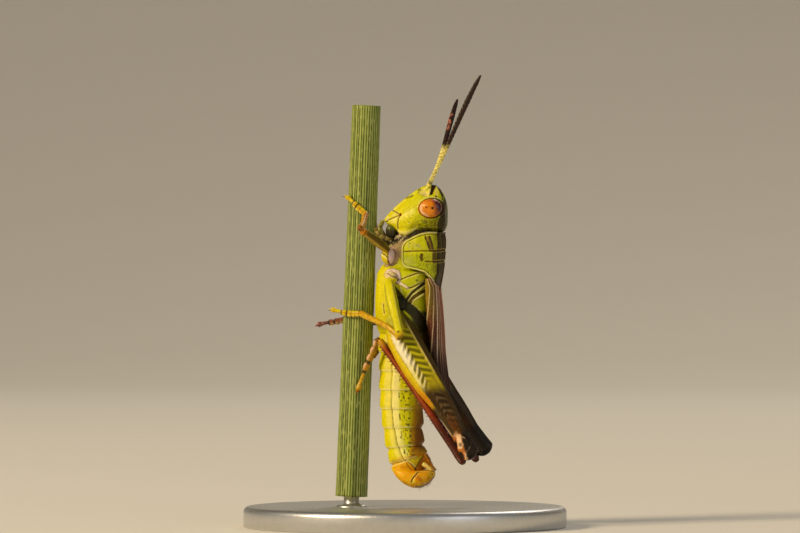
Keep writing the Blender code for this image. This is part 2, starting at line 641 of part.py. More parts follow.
def clear_neighbours(pieces):
    """Cut each piece back from the one that it grows out of or lies against."""
    def cut(name, *others):
        carve(pieces[name], *(pieces[other] for other in others))

    cut("stand_base", "stand_rod")
    cut("perch_stem", "stand_rod")
    cut("head", "eye_left", "eye_right")
    cut("labrum", "head")
    cut("thorax", "tegmen_left", "tegmen_right", "pronotum")
    cut("prothorax", "head", "thorax")
    cut("abdomen_1", "thorax", "tegmen_left", "tegmen_right")
    cut("abdomen_2", "tegmen_left", "tegmen_right")
    cut("abdomen_8", "subgenital_plate")
    cut("epiproct", "abdomen_7", "abdomen_8", "subgenital_plate")
    for side, _ in SIDES:
        cut("antenna_base_" + side, "head")
        cut("antenna_" + side, "antenna_base_" + side, "head")
        cut("mandible_" + side, "head", "labrum", "prothorax")
        cut("palp_" + side, "head", "labrum", "mandible_" + side, "prothorax")
        cut("cercus_" + side, "abdomen_7", "abdomen_8", "subgenital_plate", "epiproct")
        cut("fore_coxa_" + side, "prothorax", "pronotum", "thorax", "palp_" + side)
        cut("mid_coxa_" + side, "thorax", "prothorax", "pronotum")
        cut("hind_coxa_" + side, "thorax", "abdomen_1", "tegmen_" + side)
        cut("hind_femur_" + side, "hind_coxa_" + side, "thorax", "abdomen_1", "abdomen_2")
        cut("fore_femur_" + side, "fore_coxa_" + side, "prothorax", "thorax", "palp_" + side)
        cut("mid_femur_" + side, "mid_coxa_" + side, "thorax", "hind_femur_" + side, "hind_coxa_" + side)
        for pair in COXAE:
            cut(f"{pair}_tibia_{side}", f"{pair}_femur_{side}")
            cut(f"{pair}_tarsus_{side}", f"{pair}_tibia_{side}", "perch_stem")


def main():
    global collection
    for item in list(bpy.data.objects):
        bpy.data.objects.remove(item)
    collection = bpy.data.collections.new("grasshopper")
    cutters = bpy.data.collections.new("cutters")
    for group in (collection, cutters):
        bpy.context.scene.collection.children.link(group)
    pieces = {}
    make_all(pieces)
    clear_neighbours(pieces)
    for piece in pieces.values():
        piece.data.transform(Matrix.Scale(MILLIMETRE, 4))
        piece.data.shade_smooth()
        piece.data.set_sharp_from_angle(angle=pi / 5)


main()
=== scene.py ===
import random
from itertools import product
from math import cos, pi, radians, sin, tau

import bmesh
import bpy
import numpy as np
from mathutils import Matrix, Vector
from mathutils.bvhtree import BVHTree


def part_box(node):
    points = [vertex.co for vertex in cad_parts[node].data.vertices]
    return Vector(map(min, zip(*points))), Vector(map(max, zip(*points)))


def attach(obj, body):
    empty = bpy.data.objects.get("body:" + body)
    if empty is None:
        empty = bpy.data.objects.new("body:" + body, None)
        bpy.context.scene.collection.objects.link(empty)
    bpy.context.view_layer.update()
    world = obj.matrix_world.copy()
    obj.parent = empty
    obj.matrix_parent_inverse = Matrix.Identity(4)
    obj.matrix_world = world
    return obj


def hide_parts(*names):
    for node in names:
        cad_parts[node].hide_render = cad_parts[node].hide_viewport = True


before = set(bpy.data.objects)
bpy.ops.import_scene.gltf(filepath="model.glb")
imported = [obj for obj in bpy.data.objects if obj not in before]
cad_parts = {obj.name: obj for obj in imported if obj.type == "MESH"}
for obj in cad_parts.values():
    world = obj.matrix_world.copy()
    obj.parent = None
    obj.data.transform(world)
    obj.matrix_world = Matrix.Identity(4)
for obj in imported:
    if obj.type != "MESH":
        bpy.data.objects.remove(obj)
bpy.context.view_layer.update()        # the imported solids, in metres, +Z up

mm = 0.001               # everything below is modelled in millimetres and scaled to metres last
random.seed(11)
sides = {"left": -1, "right": 1}     # the animal's left side faces -Y
scene = bpy.context.scene

# camera, floor and light

view = {"azimuth": 10.0, "distance": 0.300, "frameWidth": 0.0421, "aim": (-0.000267, 0.0, 0.01371)}
# lamps: place and size in metres, power in watts
lamps = {"keyLamp": {"place": (-0.34, -0.30, 0.25), "size": 0.16, "power": 2.50, "colour": "#FFE9C4"},
         "fillLamp": {"place": (0.34, -0.30, 0.12), "size": 0.30, "power": 0.26, "colour": "#F4F6FF"},
         "rimLamp": {"place": (0.10, 0.34, 0.34), "size": 0.20, "power": 0.55, "colour": "#FFF6E8"}}
lampAim = (0, 0, 0.012)
sky = {"colour": "#F3F1EC", "strength": 0.24}
# the sheet of paper, in metres: half its width, where it starts to rise, its bend and its top
paper = {"colour": "#E4DED2", "shade": 0.975, "half": 1.6, "riseAt": 0.35, "bend": 0.5, "steps": 16,
         "top": 2.4, "roughness": 0.9}

# colours that several pieces share, as sRGB
palette = {
    "lime": "#C3C42A", "leaf": "#98A428", "lemon": "#DACD2C", "cream": "#E9DE96", "ochre": "#C89A2A",
    "olive": "#4E4A1C", "umber": "#4A2A12", "black": "#140D08", "rust": "#8E3A12", "lilac": "#B79AA0",
    "orange": "#D98A1E", "amber": "#C9741C", "bark": "#6B4326", "straw": "#D9C77A",
}


def linear(colour):
    # a palette name or an sRGB hex colour as linear red, green and blue
    hexColour = palette.get(colour, colour)
    rgb = [int(hexColour[i:i + 2], 16) / 255 for i in (1, 3, 5)]
    return tuple(c / 12.92 if c <= 0.04045 else ((c + 0.055) / 1.055) ** 2.4 for c in rgb)


def addNode(tree, kind, settings=None, **links):
    # a node with its settings; each link is input name = the socket that feeds it
    node = tree.nodes.new("ShaderNode" + kind)
    for name, value in (settings or {}).items():
        if isinstance(name, int) or name in node.inputs:
            node.inputs[name].default_value = value
        else:
            setattr(node, name, value)
    for name, socket in links.items():
        places = [s for s in node.inputs if s.name == name.replace("_", " ") and s.enabled]
        tree.links.new(socket, places[0] if places else node.inputs[int(name[1:])])
    return node


def newMaterial(name):
    # a material, its nodes, its Principled shader and the object's coordinates
    material = bpy.data.materials.new(name)
    material.use_nodes = True
    tree = material.node_tree
    return material, tree, tree.nodes["Principled BSDF"], addNode(tree, "TexCoord").outputs["Object"]


def blend(tree, shader, texture, low, high):
    # the base colour runs from low to high with a texture
    tone = addNode(tree, "Mix", {"data_type": "RGBA", 6: (*low, 1), 7: (*high, 1)},
                   Factor=texture.outputs["Fac"])
    tree.links.new(tone.outputs[2], shader.inputs["Base Color"])


def meshOf(name, shape):
    mesh = bpy.data.meshes.new(name)
    shape.to_mesh(mesh)
    shape.free()
    return mesh


def makeCamera():
    turn = radians(view["azimuth"])
    data = bpy.data.cameras.new("camera")
    data.lens = data.sensor_width * view["distance"] / view["frameWidth"]
    data.clip_start = 0.01
    data.clip_end = 10
    camera = bpy.data.objects.new("camera", data)
    camera.location = Vector(view["aim"]) + Vector((sin(turn), -cos(turn), 0)) * view["distance"]
    camera.rotation_euler = (radians(90), 0, turn)
    scene.collection.objects.link(camera)
    scene.camera = camera


def makeStage():
    # a sheet of paper: flat under the stand and swept up behind it
    shape = bmesh.new()
    half, riseAt, bend, steps = (paper[key] for key in ("half", "riseAt", "bend", "steps"))
    start = [shape.verts.new((end, -half, 0)) for end in (-half, half)]
    edge = [shape.edges.new(start)]
    turns = [pi / 2 * i / steps for i in range(1, steps + 1)]
    path = [(riseAt, 0.0)] + [(riseAt + bend * sin(turn), bend - bend * cos(turn)) for turn in turns]
    path.append((riseAt + bend, paper["top"]))
    for y, z in path:
        grown = bmesh.ops.extrude_edge_only(shape, edges=edge)["geom"]
        edge = [part for part in grown if isinstance(part, bmesh.types.BMEdge)]
        for vert in (part for part in grown if isinstance(part, bmesh.types.BMVert)):
            vert.co = (vert.co.x, y, z)
    bmesh.ops.reverse_faces(shape, faces=[f for f in shape.faces if f.normal.z - f.normal.y < 0])
    mesh = meshOf("paperSweep", shape)
    mesh.shade_smooth()
    card, tree, shader, coords = newMaterial("mattPaper")        # matt card: no gloss, a breath of fibre
    shader.inputs["Roughness"].default_value = paper["roughness"]
    fibre = addNode(tree, "TexNoise", {"Scale": 260.0, "Detail": 4.0}, Vector=coords)
    base = linear(paper["colour"])
    blend(tree, shader, fibre, [c * paper["shade"] for c in base], base)
    mesh.materials.append(card)
    sweep = bpy.data.objects.new("paperSweep", mesh)
    scene.collection.objects.link(sweep)


def addLight(name, place, size, power, colour):
    data = bpy.data.lights.new(name, "AREA")
    data.shape = "DISK"
    data.size = size
    data.energy = power
    data.color = linear(colour)
    lamp = bpy.data.objects.new(name, data)
    lamp.location = place
    lamp.rotation_euler = (Vector(place) - Vector(lampAim)).to_track_quat("Z", "Y").to_euler()
    scene.collection.objects.link(lamp)


makeCamera()
makeStage()
for name, lamp in lamps.items():
    addLight(name, **lamp)
world = bpy.data.worlds.new("softRoom")
world.use_nodes = True
background = world.node_tree.nodes["Background"]
background.inputs["Color"].default_value = (*linear(sky["colour"]), 1)
background.inputs["Strength"].default_value = sky["strength"]
scene.world = world
scene.view_settings.view_transform = "Standard"
print("camera, paper and lamps are set")

# tools for shapes


def box(node):
    low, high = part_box(node)
    return np.array(low) / mm, np.array(high) / mm


def spot(node, along, out, up):
    # a point of the left side by its shares of a solid's box: along X, out from its middle plane, up Z
    low, high = box(node)
    centre = (low[1] + high[1]) / 2
    return np.array((low[0] + along * (high[0] - low[0]), centre - out * (high[1] - low[1]) / 2,
                     low[2] + up * (high[2] - low[2])))


def shareOf(node, places):
    # places as shares of a solid's box, 0 at its low corner and 1 at its high corner
    low, high = box(node)
    return (places - low) / (high - low)


def fromMiddle(node, places):
    # places measured from the middle of a solid's box, 1 at its faces
    low, high = box(node)
    return (places - (low + high) / 2) / ((high - low) / 2)


def solidTree(*nodes):
    # the named solids as one search tree, in millimetres
    verts, faces = [], []
    for node in nodes:
        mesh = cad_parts[node].data
        start = len(verts)
        verts += [vert.co / mm for vert in mesh.vertices]
        faces += [[start + i for i in polygon.vertices] for polygon in mesh.polygons]
    return BVHTree.FromPolygons(verts, faces)


def castRing(tree, centre, first, second, around, reach=6.0):
    # how far out the solid reaches from a centre, all round from first towards second
    radii = np.full(around, np.nan)
    for k in range(around):
        way = first * cos(tau * k / around) + second * sin(tau * k / around)
        hit = tree.ray_cast(centre + way * reach, -way, reach)[0]
        if hit is not None:
            radii[k] = (hit - centre).length
    known = np.flatnonzero(~np.isnan(radii))
    if not len(known):
        return radii
    return np.interp(np.arange(around), known, radii[known], period=around)


def blur(table, rows, columns, closed=True):
    # rub the facets out of a table of distances
    for axis, times, loop in ((0, rows, False), (1, columns, closed)):
        for step in range(times):
            before = np.roll(table, 1, axis)
            after = np.roll(table, -1, axis)
            if not loop:
                first, last = [slice(None)] * table.ndim, [slice(None)] * table.ndim
                first[axis], last[axis] = 0, -1
                before[tuple(first)] = table[tuple(first)]
                after[tuple(last)] = table[tuple(last)]
            table = 0.25 * before + 0.5 * table + 0.25 * after
    return table


def gridMesh(name, points, closed):
    # a grid laid through rows of points; closed welds its long edges and its poles
    rows, columns = points.shape[:2]
    shape = bmesh.new()
    along = shape.verts.layers.float.new("along")
    around = shape.verts.layers.float.new("around")
    bmesh.ops.create_grid(shape, x_segments=columns - 1, y_segments=rows - 1, size=1.0)
    for index, vert in enumerate(shape.verts):
        row, column = divmod(index, columns)
        vert.co = points[row, column]
        vert[along] = row / (rows - 1)
        vert[around] = column / (columns - 1)
    if closed:
        bmesh.ops.remove_doubles(shape, verts=shape.verts[:], dist=1e-5)
        bmesh.ops.recalc_face_normals(shape, faces=shape.faces[:])
    return meshOf(name, shape)


def ringMesh(name, centres, firsts, seconds, radii):
    # a closed skin from rings of distances about a line, brought to a point at both ends
    around = radii.shape[1]
    angles = tau * np.arange(around + 1) / around
    rows = []
    for centre, first, second, ring in zip(centres, firsts, seconds, radii):
        ring = np.append(ring, ring[0])
        rows.append(np.array(centre) + (np.outer(np.cos(angles), first)
                                        + np.outer(np.sin(angles), second))
                    * ring[:, None])
    caps = [np.repeat(row.mean(0)[None], around + 1, 0) for row in (rows[0], rows[-1])]
    ends = [[cap + (row - cap) * share for share in (0.0, 0.35, 0.7, 0.9)]
            for cap, row in zip(caps, (rows[0], rows[-1]))]
    return gridMesh(name, np.array(ends[0] + rows + ends[1][::-1]), True)


def arrayOf(items, field, width):
    values = np.empty(len(items) * width, np.float32)
    items.foreach_get(field, values)
    return values.reshape(-1, width).astype(float)


def dress(mesh, look):
    # look(places, along, around, out) gives how far each point rises and the colour it is painted
    places = arrayOf(mesh.vertices, "co", 3)
    out = arrayOf(mesh.vertex_normals, "vector", 3)
    along = arrayOf(mesh.attributes["along"].data, "value", 1)[:, 0]
    around = arrayOf(mesh.attributes["around"].data, "value", 1)[:, 0]
    height, paint = look(places, along, around, out)
    mesh.vertices.foreach_set("co", (places + out * height[:, None]).ravel())
    layer = mesh.attributes.new("paint", "FLOAT_COLOR", "POINT")
    layer.data.foreach_set("color", np.column_stack((paint, np.ones(len(paint)))).ravel())
    mesh.update()


def addPiece(name, mesh, look, material, slot, *nodes):
    # paint the mesh, scale it to metres, shade it smooth and put it in the frame
    if look:
        dress(mesh, look)
    mesh.transform(Matrix.Scale(mm, 4))
    mesh.shade_smooth()
    mesh.materials.clear()
    mesh.materials.append(material)
    piece = bpy.data.objects.new(name, mesh)
    scene.collection.objects.link(piece)
    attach(piece, "root")
    if nodes:
        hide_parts(*nodes)
    return piece


def spineOf(node, toward, degree=3):
    # the middle line of a long thin solid as a function of 0 to 1, starting nearest to another node
    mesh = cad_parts[node].data
    points = arrayOf(mesh.vertices, "co", 3) / mm
    middle = points.mean(0)
    axes = np.linalg.svd(points - middle, full_matrices=False)[2]
    start = np.array(sum(box(toward))) / 2
    way = axes[0] * (-1 if (start - middle) @ axes[0] > 0 else 1)
    local = (points - middle) @ np.array((way, axes[1], axes[2])).T
    corners = np.array([polygon.vertices[:] for polygon in mesh.polygons])
    edges = np.concatenate([corners[:, (i, (i + 1) % 3)] for i in range(3)])
    low, high = local[:, 0].min(), local[:, 0].max()
    stops, found = np.linspace(0.04, 0.96, 17), []
    for stop in stops:
        place = low + (high - low) * stop
        a, b = local[edges[:, 0]], local[edges[:, 1]]
        cut = (a[:, 0] - place) * (b[:, 0] - place) < 0
        share = ((place - a[cut, 0]) / (b[cut, 0] - a[cut, 0]))[:, None]
        crossing = a[cut] + (b[cut] - a[cut]) * share
        found.append((place, *((crossing.min(0) + crossing.max(0)) / 2)[1:]))
    fits = [np.polyfit(stops, column, degree) for column in np.array(found).T]

    def line(share):
        share = np.atleast_1d(share)
        spot = np.array([np.polyval(fit, share) for fit in fits]).T
        return middle + spot @ np.array((way, axes[1], axes[2]))
    return line


def framesAlong(points, up):
    # the directions along, up and across at each point of a line
    way = np.gradient(points, axis=0)
    way /= np.linalg.norm(way, axis=1)[:, None]
    up = np.array(up, float)
    rise = up - (way @ up)[:, None] * way
    rise /= np.linalg.norm(rise, axis=1)[:, None]
    return way, rise, np.cross(way, rise)


def tubeMesh(name, points, deep, wide, up, around=28):
    # a limb about a line, with its own depth and width at each point and rounded ends
    way, rise, across = framesAlong(points, up)
    angles = tau * np.arange(around + 1) / around
    rows = []
    for end, turn in ((0, 1), (-1, -1)):
        cap = []
        for lean in np.linspace(0, pi / 2, 6)[:-1]:
            shrink, back = sin(lean), -turn * cos(lean) * 0.6 * min(deep[end], wide[end])
            cap.append(points[end] + way[end] * back
                       + (np.outer(np.cos(angles), rise[end]) * deep[end]
                          + np.outer(np.sin(angles), across[end]) * wide[end]) * shrink)
        rows.append(cap)
    body = [points[i] + np.outer(np.cos(angles), rise[i]) * deep[i]
            + np.outer(np.sin(angles), across[i]) * wide[i]
            for i in range(len(points))]
    return gridMesh(name, np.array(rows[0] + body + rows[1][::-1]), True)


# tools for paint


def soft(value, low, high):
    # 0 below low, 1 above high and a smooth step between
    share = np.clip((value - low) / (high - low), 0, 1)
    return share * share * (3 - 2 * share)


def fade(value, low, high):
    return 1 - soft(value, low, high)


def band(value, centre, half, edge):
    # 1 within half of the centre, easing to 0 over the edge beyond it
    return fade(np.abs(value - centre), half, half + edge)


def distance(places, points):
    # distance from each place to a line through points
    points = [np.asarray(point, float) for point in points]
    best = np.full(len(places), 1e9)
    for start, end in zip(points, points[1:] or points):
        run = end - start
        share = np.clip((places - start) @ run / max(run @ run, 1e-12), 0, 1)
        best = np.minimum(best, np.linalg.norm(places - start - share[:, None] * run, axis=1))
    return best


def drape(node, points, steps=6, trees={}):
    # a line through points, laid on the surface of a solid
    if node not in trees:
        trees[node] = solidTree(node)
    points = [np.array(point, dtype=float) for point in points]
    line = []
    for start, end in zip(points, points[1:]):
        line += [start + (end - start) * i / steps for i in range(steps)]
    line.append(points[-1])
    return [np.array(trees[node].find_nearest(Vector(point))[0]) for point in line]


def markers(node, left):
    # at makes a point from its shares of the solid's box, near measures how far each place is from a
    # line drawn on the solid
    return (lambda along, out, up: spot(node, along, out, up),
            lambda *points: distance(left, drape(node, points)))


def tint(paint, *coats):
    # lays coats over the paint in turn: the colour, where it goes and, if not in full, how strongly
    for colour, mask, *strength in coats:
        mask = np.clip(mask * (strength or [1.0])[0], 0, 1)[:, None]
        paint = paint * (1 - mask) + np.array(linear(colour)) * mask
    return paint


def flat(colour, places):
    return np.tile(np.array(linear(colour)), (len(places), 1))


def cloud(places, size, seed=0):
    # a smooth random field from 0 to 1, with lumps about size across
    cell = places / size + 31.7 * (seed + 1)
    base = np.floor(cell).astype(np.int64)
    part = cell - base
    part = part * part * (3 - 2 * part)
    total = np.zeros(len(places))
    for corner in product((0, 1), repeat=3):
        key = (base + corner) @ np.array((73856093, 19349663, 83492791))
        key = (key ^ (key >> 13)) * 1274126177
        value = ((key ^ (key >> 16)) & 65535) / 65535
        weight = np.prod(np.where(corner, part, 1 - part), axis=1)
        total += weight * value
    return total


def grainOf(places, size, seed):
    return cloud(places, size, seed) * 0.6 + cloud(places, size / 2, seed + 1) * 0.4


def pits(places, size, seed=0):
    # 1 in the middle of scattered round pits about one size apart, 0 between them
    cell = np.floor(places / size)
    nearest = np.full(len(places), 9.0)
    for step in np.ndindex(3, 3, 3):
        corner = cell + np.array(step) - 1
        jitter = np.stack([np.modf(np.abs(np.sin(corner @ np.array(key) + seed)) * 4375.85)[0]
                           for key in ((127.1, 311.7, 74.7), (269.5, 183.3, 246.1),
                                       (113.5, 271.9, 124.6))], axis=1)
        nearest = np.minimum(nearest, np.linalg.norm(places / size - corner - jitter, axis=1))
    return fade(nearest, 0.22, 0.45)


def onLeft(places):
    # the same place on the left side, so that both sides get the same marks
    return np.column_stack((places[:, 0], -np.abs(places[:, 1]), places[:, 2]))


# materials


def makeCuticle(name, settings):
    # painted cuticle: the piece's own paint, mottled, with pores and a waxy or oily gloss
    material, tree, shader, coords = newMaterial(name)
    paint = addNode(tree, "Attribute", {"attribute_name": "paint"})
    perMetre = 1 / mm
    mottle = addNode(tree, "TexNoise", {"Scale": perMetre / settings["mottleSize"], "Detail": 5.0,
                                        "Roughness": 0.62}, Vector=coords)
    shift = addNode(tree, "MapRange", {"From Min": 0.32, "From Max": 0.68,
                                       "To Min": 1 - settings["mottle"],
                                       "To Max": 1 + settings["mottle"]}, Value=mottle.outputs["Fac"])
    toned = addNode(tree, "VectorMath", {"operation": "SCALE"}, i0=paint.outputs["Color"],
                    Scale=shift.outputs["Result"])
    rich = addNode(tree, "HueSaturation", {"Saturation": settings["richness"]},
                   Color=toned.outputs["Vector"])
    pores = addNode(tree, "TexVoronoi", {"Scale": perMetre / settings["poreSize"]},
                    Vector=coords)
    dips = addNode(tree, "MapRange", {"From Min": 0.0, "From Max": 0.45, "To Min": 0.0, "To Max": 1.0},
                   Value=pores.outputs["Distance"])
    fine = addNode(tree, "TexNoise", {"Scale": perMetre / settings["grainSize"], "Detail": 3.0},
                   Vector=coords)
    relief = addNode(tree, "Math", {"operation": "MULTIPLY_ADD", 1: 1.0}, i0=fine.outputs["Fac"],
                     i2=dips.outputs["Result"])
    bump = addNode(tree, "Bump", {"Strength": settings["bump"], "Distance": settings["bumpDepth"] * mm},
                   Height=relief.outputs["Value"])
    roughness = settings["roughness"]
    gloss = addNode(tree, "MapRange", {"From Min": 0.3, "From Max": 0.7, "To Min": roughness - 0.08,
                                       "To Max": roughness + 0.1}, Value=fine.outputs["Fac"])
    for name, socket in {"Base Color": rich.outputs["Color"], "Normal": bump.outputs["Normal"],
                         "Roughness": gloss.outputs["Result"]}.items():
        tree.links.new(socket, shader.inputs[name])
    for name, value in {
            "IOR": 1.50,                                # waxed chitin
            "Specular IOR Level": settings["shine"], "Specular Tint": (1.0, 0.86, 0.62, 1.0),
            "Subsurface Weight": settings["glow"], "Subsurface Radius": (1.0, 0.7, 0.25),
            "Subsurface Scale": settings["glowDepth"] * mm, "Coat Weight": settings["coat"],
            "Coat Roughness": settings["coatRoughness"]}.items():
        shader.inputs[name].default_value = value
    return material


def addFinish(name, **settings):
    plain = {"mottle": 0.10, "mottleSize": 0.22, "poreSize": 0.07, "grainSize": 0.03, "bump": 0.35,
             "bumpDepth": 0.012, "roughness": 0.42, "glow": 0.18, "glowDepth": 0.12, "coat": 0.06,
             "coatRoughness": 0.22, "richness": 1.12, "shine": 0.28}
    return makeCuticle(name, {**plain, **settings})


# hard, finely pitted lime-green chitin of the head and the saddle: a soft waxy gloss
limeChitin = addFinish("limeChitin", poreSize=0.085, bump=0.45)
# thin yellow chitin of the belly and abdomen: smoother and more translucent
bellyChitin = addFinish("bellyChitin", mottle=0.08, poreSize=0.05, bump=0.25, glow=0.28, glowDepth=0.18)
# tanned, oily chitin of shins, feet, jaws and feelers
tannedChitin = addFinish("tannedChitin", mottle=0.16, mottleSize=0.12, bump=0.3, roughness=0.34,
                         coat=0.25, glow=0.10, glowDepth=0.08)
# leathery wing cover: dry and almost matt between its veins
wingLeather = addFinish("wingLeather", mottle=0.14, mottleSize=0.10, poreSize=0.045, bump=0.3,
                        roughness=0.5, glow=0.05, glowDepth=0.05, coat=0.05)
# fine pale bristles
bristleHair = addFinish("bristleHair", mottle=0.12, roughness=0.4, bump=0.05, glow=0.2)
# claws and spine tips: black horn, polished by wear
clawHorn = addFinish("clawHorn", mottle=0.2, roughness=0.25, coat=0.4, glow=0.0)

# stand and perch

stand = {"rimBevel": 0.30, "dish": 0.06, "around": 160}
rush = {"ribs": 36, "ribHeight": 0.018, "along": 130, "around": 288, "pale": "#B4B874",
        "green": "#596D2A", "deep": "#2B3A14", "pith": "#D8D3A8"}
# plant wax over green ribs: a satin sheen
rushSkin = addFinish("rushSkin", mottle=0.12, mottleSize=0.3, poreSize=0.06, bump=0.25, roughness=0.48,
                     glow=0.06, glowDepth=0.1, coat=0.08)


def turned(name, profile, centre, steps):
    # a profile of (radius, height) spun round an upright axis
    shape = bmesh.new()
    verts = [shape.verts.new((radius, 0, height)) for radius, height in profile]
    edges = [shape.edges.new(pair) for pair in zip(verts, verts[1:])]
    bmesh.ops.spin(shape, geom=verts + edges, cent=(0, 0, 0), axis=(0, 0, 1), angle=tau, steps=steps,
                   use_merge=True, use_duplicate=False)
    bmesh.ops.remove_doubles(shape, verts=shape.verts[:], dist=1e-5)
    bmesh.ops.recalc_face_normals(shape, faces=shape.faces[:])
    bmesh.ops.translate(shape, verts=shape.verts[:], vec=centre)
    return meshOf(name, shape)


def makeStand():
    # turned and bead-blasted aluminium: soft ring sheen
    metal, tree, shader, coords = newMaterial("satinAluminium")
    shader.inputs["Metallic"].default_value = 1.0
    rings = addNode(tree, "TexWave", {"wave_type": "RINGS", "rings_direction": "Z", "Scale": 900.0,
                                      "Distortion": 1.2, "Detail": 2.0, "Detail Scale": 3.0},
                    Vector=coords)
    blast = addNode(tree, "TexNoise", {"Scale": 9000.0, "Detail": 2.0}, Vector=coords)
    both = addNode(tree, "Math", {"operation": "MULTIPLY_ADD", 1: 0.35}, i0=rings.outputs["Fac"],
                   i2=blast.outputs["Fac"])
    bump = addNode(tree, "Bump", {"Strength": 0.25, "Distance": 0.02 * mm}, Height=both.outputs["Value"])
    tree.links.new(bump.outputs["Normal"], shader.inputs["Normal"])
    gloss = addNode(tree, "MapRange", {"To Min": 0.30, "To Max": 0.46}, Value=blast.outputs["Fac"])
    tree.links.new(gloss.outputs["Result"], shader.inputs["Roughness"])
    blend(tree, shader, rings, linear("#C9C9C8"), linear("#D6D6D4"))
    low, high = box("stand_base")
    radius, top, bevel = high[0], high[2], stand["rimBevel"]
    rim = [(radius - bevel + bevel * sin(turn), top - bevel + bevel * cos(turn))
           for turn in np.linspace(0, pi / 2, 9)]
    foot = [(radius, 0.08), (radius - 0.08, 0.0)]
    profile = [(0, top - stand["dish"]), (radius * 0.5, top - stand["dish"] * 0.75),
               (radius * 0.8, top - stand["dish"] * 0.2)] + rim + foot + [(0, 0.0)]
    base = turned("standPlate", profile, (0, 0, 0), stand["around"])
    addPiece("standPlate", base, None, metal, "satin_aluminium", "stand_base")
    low, high = box("stand_rod")
    half = (high[0] - low[0]) / 2
    centre = ((low[0] + high[0]) / 2, 0, 0)
    collar = top - stand["dish"]
    profile = [(0, high[2]), (half, high[2]), (half, collar + 0.22), (half + 0.10, collar + 0.12),
               (half + 0.34, collar + 0.10), (half + 0.42, collar + 0.04), (half + 0.42, collar - 0.05),
               (0, collar - 0.05)]
    rod = turned("standRod", profile, centre, 48)
    addPiece("standRod", rod, None, metal, "satin_aluminium", "stand_rod")


def probeStem():
    # middle and radius of the perch at two heights
    tree = solidTree("perch_stem")
    low, high = box("perch_stem")
    probe = []
    for z in (low[2] + 1.5, high[2] - 1.5):
        left = tree.ray_cast(Vector((-20, 0, z)), Vector((1, 0, 0)))[0]
        right = tree.ray_cast(Vector((20, 0, z)), Vector((-1, 0, 0)))[0]
        probe.append(((left.x + right.x) / 2, (right.x - left.x) / 2, z))
    return probe


def makeRush():
    # a cut rush: waxy skin over fine ribs, pale pith in the cut ends
    low, high = box("perch_stem")
    (x0, r0, z0), (x1, r1, z1) = probeStem()
    lean = (x1 - x0) / (z1 - z0)
    way = Vector((lean, 0, 1)).normalized()
    side = Vector((way.z, 0, -way.x))
    heights = np.linspace(low[2] + 0.04, high[2] - 0.04, rush["along"])
    angles = tau * np.arange(rush["around"]) / rush["around"]
    rib = rush["ribHeight"] * (np.abs(np.cos(angles * rush["ribs"] / 2)) ** 0.7 - 0.5)
    centres, radii = [], []
    for z in heights:
        share = (z - z0) / (z1 - z0)
        centres.append((x0 + (x1 - x0) * share, 0, z))
        radii.append(r0 + (r1 - r0) * share + rib * (0.8 + 0.4 * sin(z * 1.7)))
    mesh = ringMesh("rushStem", centres, [side] * len(heights), [Vector((0, 1, 0))] * len(heights),
                    np.array(radii))

    def look(places, along, around, out):
        angle = around * tau
        rib = np.abs(np.cos(angle * rush["ribs"] / 2))
        unrolled = np.column_stack((np.cos(angle) * 2, np.sin(angle) * 2, places[:, 2] * 0.03))
        broad = cloud(unrolled, 0.4, 3)
        fleck = cloud(places * (1, 1, 0.25), 0.05, 5)
        # paler rib tops and darker grooves: partly the rush's own ribbing, partly painted highlight and
        # painted shade
        paint = tint(flat(rush["green"], places),
            (rush["pale"], soft(rib, 0.45, 0.95), 0.75),
            (rush["deep"], fade(rib, 0.05, 0.40), 0.6),
            (rush["deep"], soft(broad, 0.5, 0.75), 0.5),
            (rush["pale"], soft(fleck, 0.62, 0.85), 0.55))
        cut = np.maximum(fade(along, 0.012, 0.028), soft(along, 0.972, 0.988))
        paint = tint(paint, (rush["pith"], cut, 0.9))
        pith = cut * cloud(places, 0.09, 8) * 0.03
        return 0.006 * (fleck - 0.5) + pith, paint
    addPiece("rushStem", mesh, look, rushSkin, "rush_stem", "perch_stem")


makeStand()
makeRush()
print("stand and rush are made")

# head

head = {"stations": 200, "around": 220, "frontRidge": 0.05, "ridgeHalf": 0.20, "seam": 0.045,
        "rim": 0.045}


def castAlong(nodes, axis, stations, around, inset=0.03, ease=True):
    # a skin over solids that lie along X or Z, ring by ring, each about the middle of its own section
    tree = solidTree(*nodes)
    lows, highs = zip(*(box(node) for node in nodes))
    low, high = np.min(lows, 0)[axis] + inset, np.max(highs, 0)[axis] - inset
    across = 2 - axis
    shares = np.linspace(0, 1, stations)
    if ease:
        shares = 0.5 - 0.5 * np.cos(pi * shares)
    probe, second = Vector((0, 0, 0)), Vector((0, 1, 0))
    probe[across] = 1
    centres, radii = [], []
    for place in low + (high - low) * shares:
        far = Vector((0, 0, 0))
        far[axis] = place
        far[across] = 60
        upper = tree.ray_cast(far, -probe)[0]
        far[across] = -60
        lower = tree.ray_cast(far, probe)[0]
        if upper is None:
            centre = centres[-1].copy()
            centre[axis] = place
        else:
            centre = (upper + lower) / 2
        centres.append(centre)
        radii.append(castRing(tree, centre, probe, second, around))
    return centres, [probe] * stations, [second] * stations, np.array(radii)


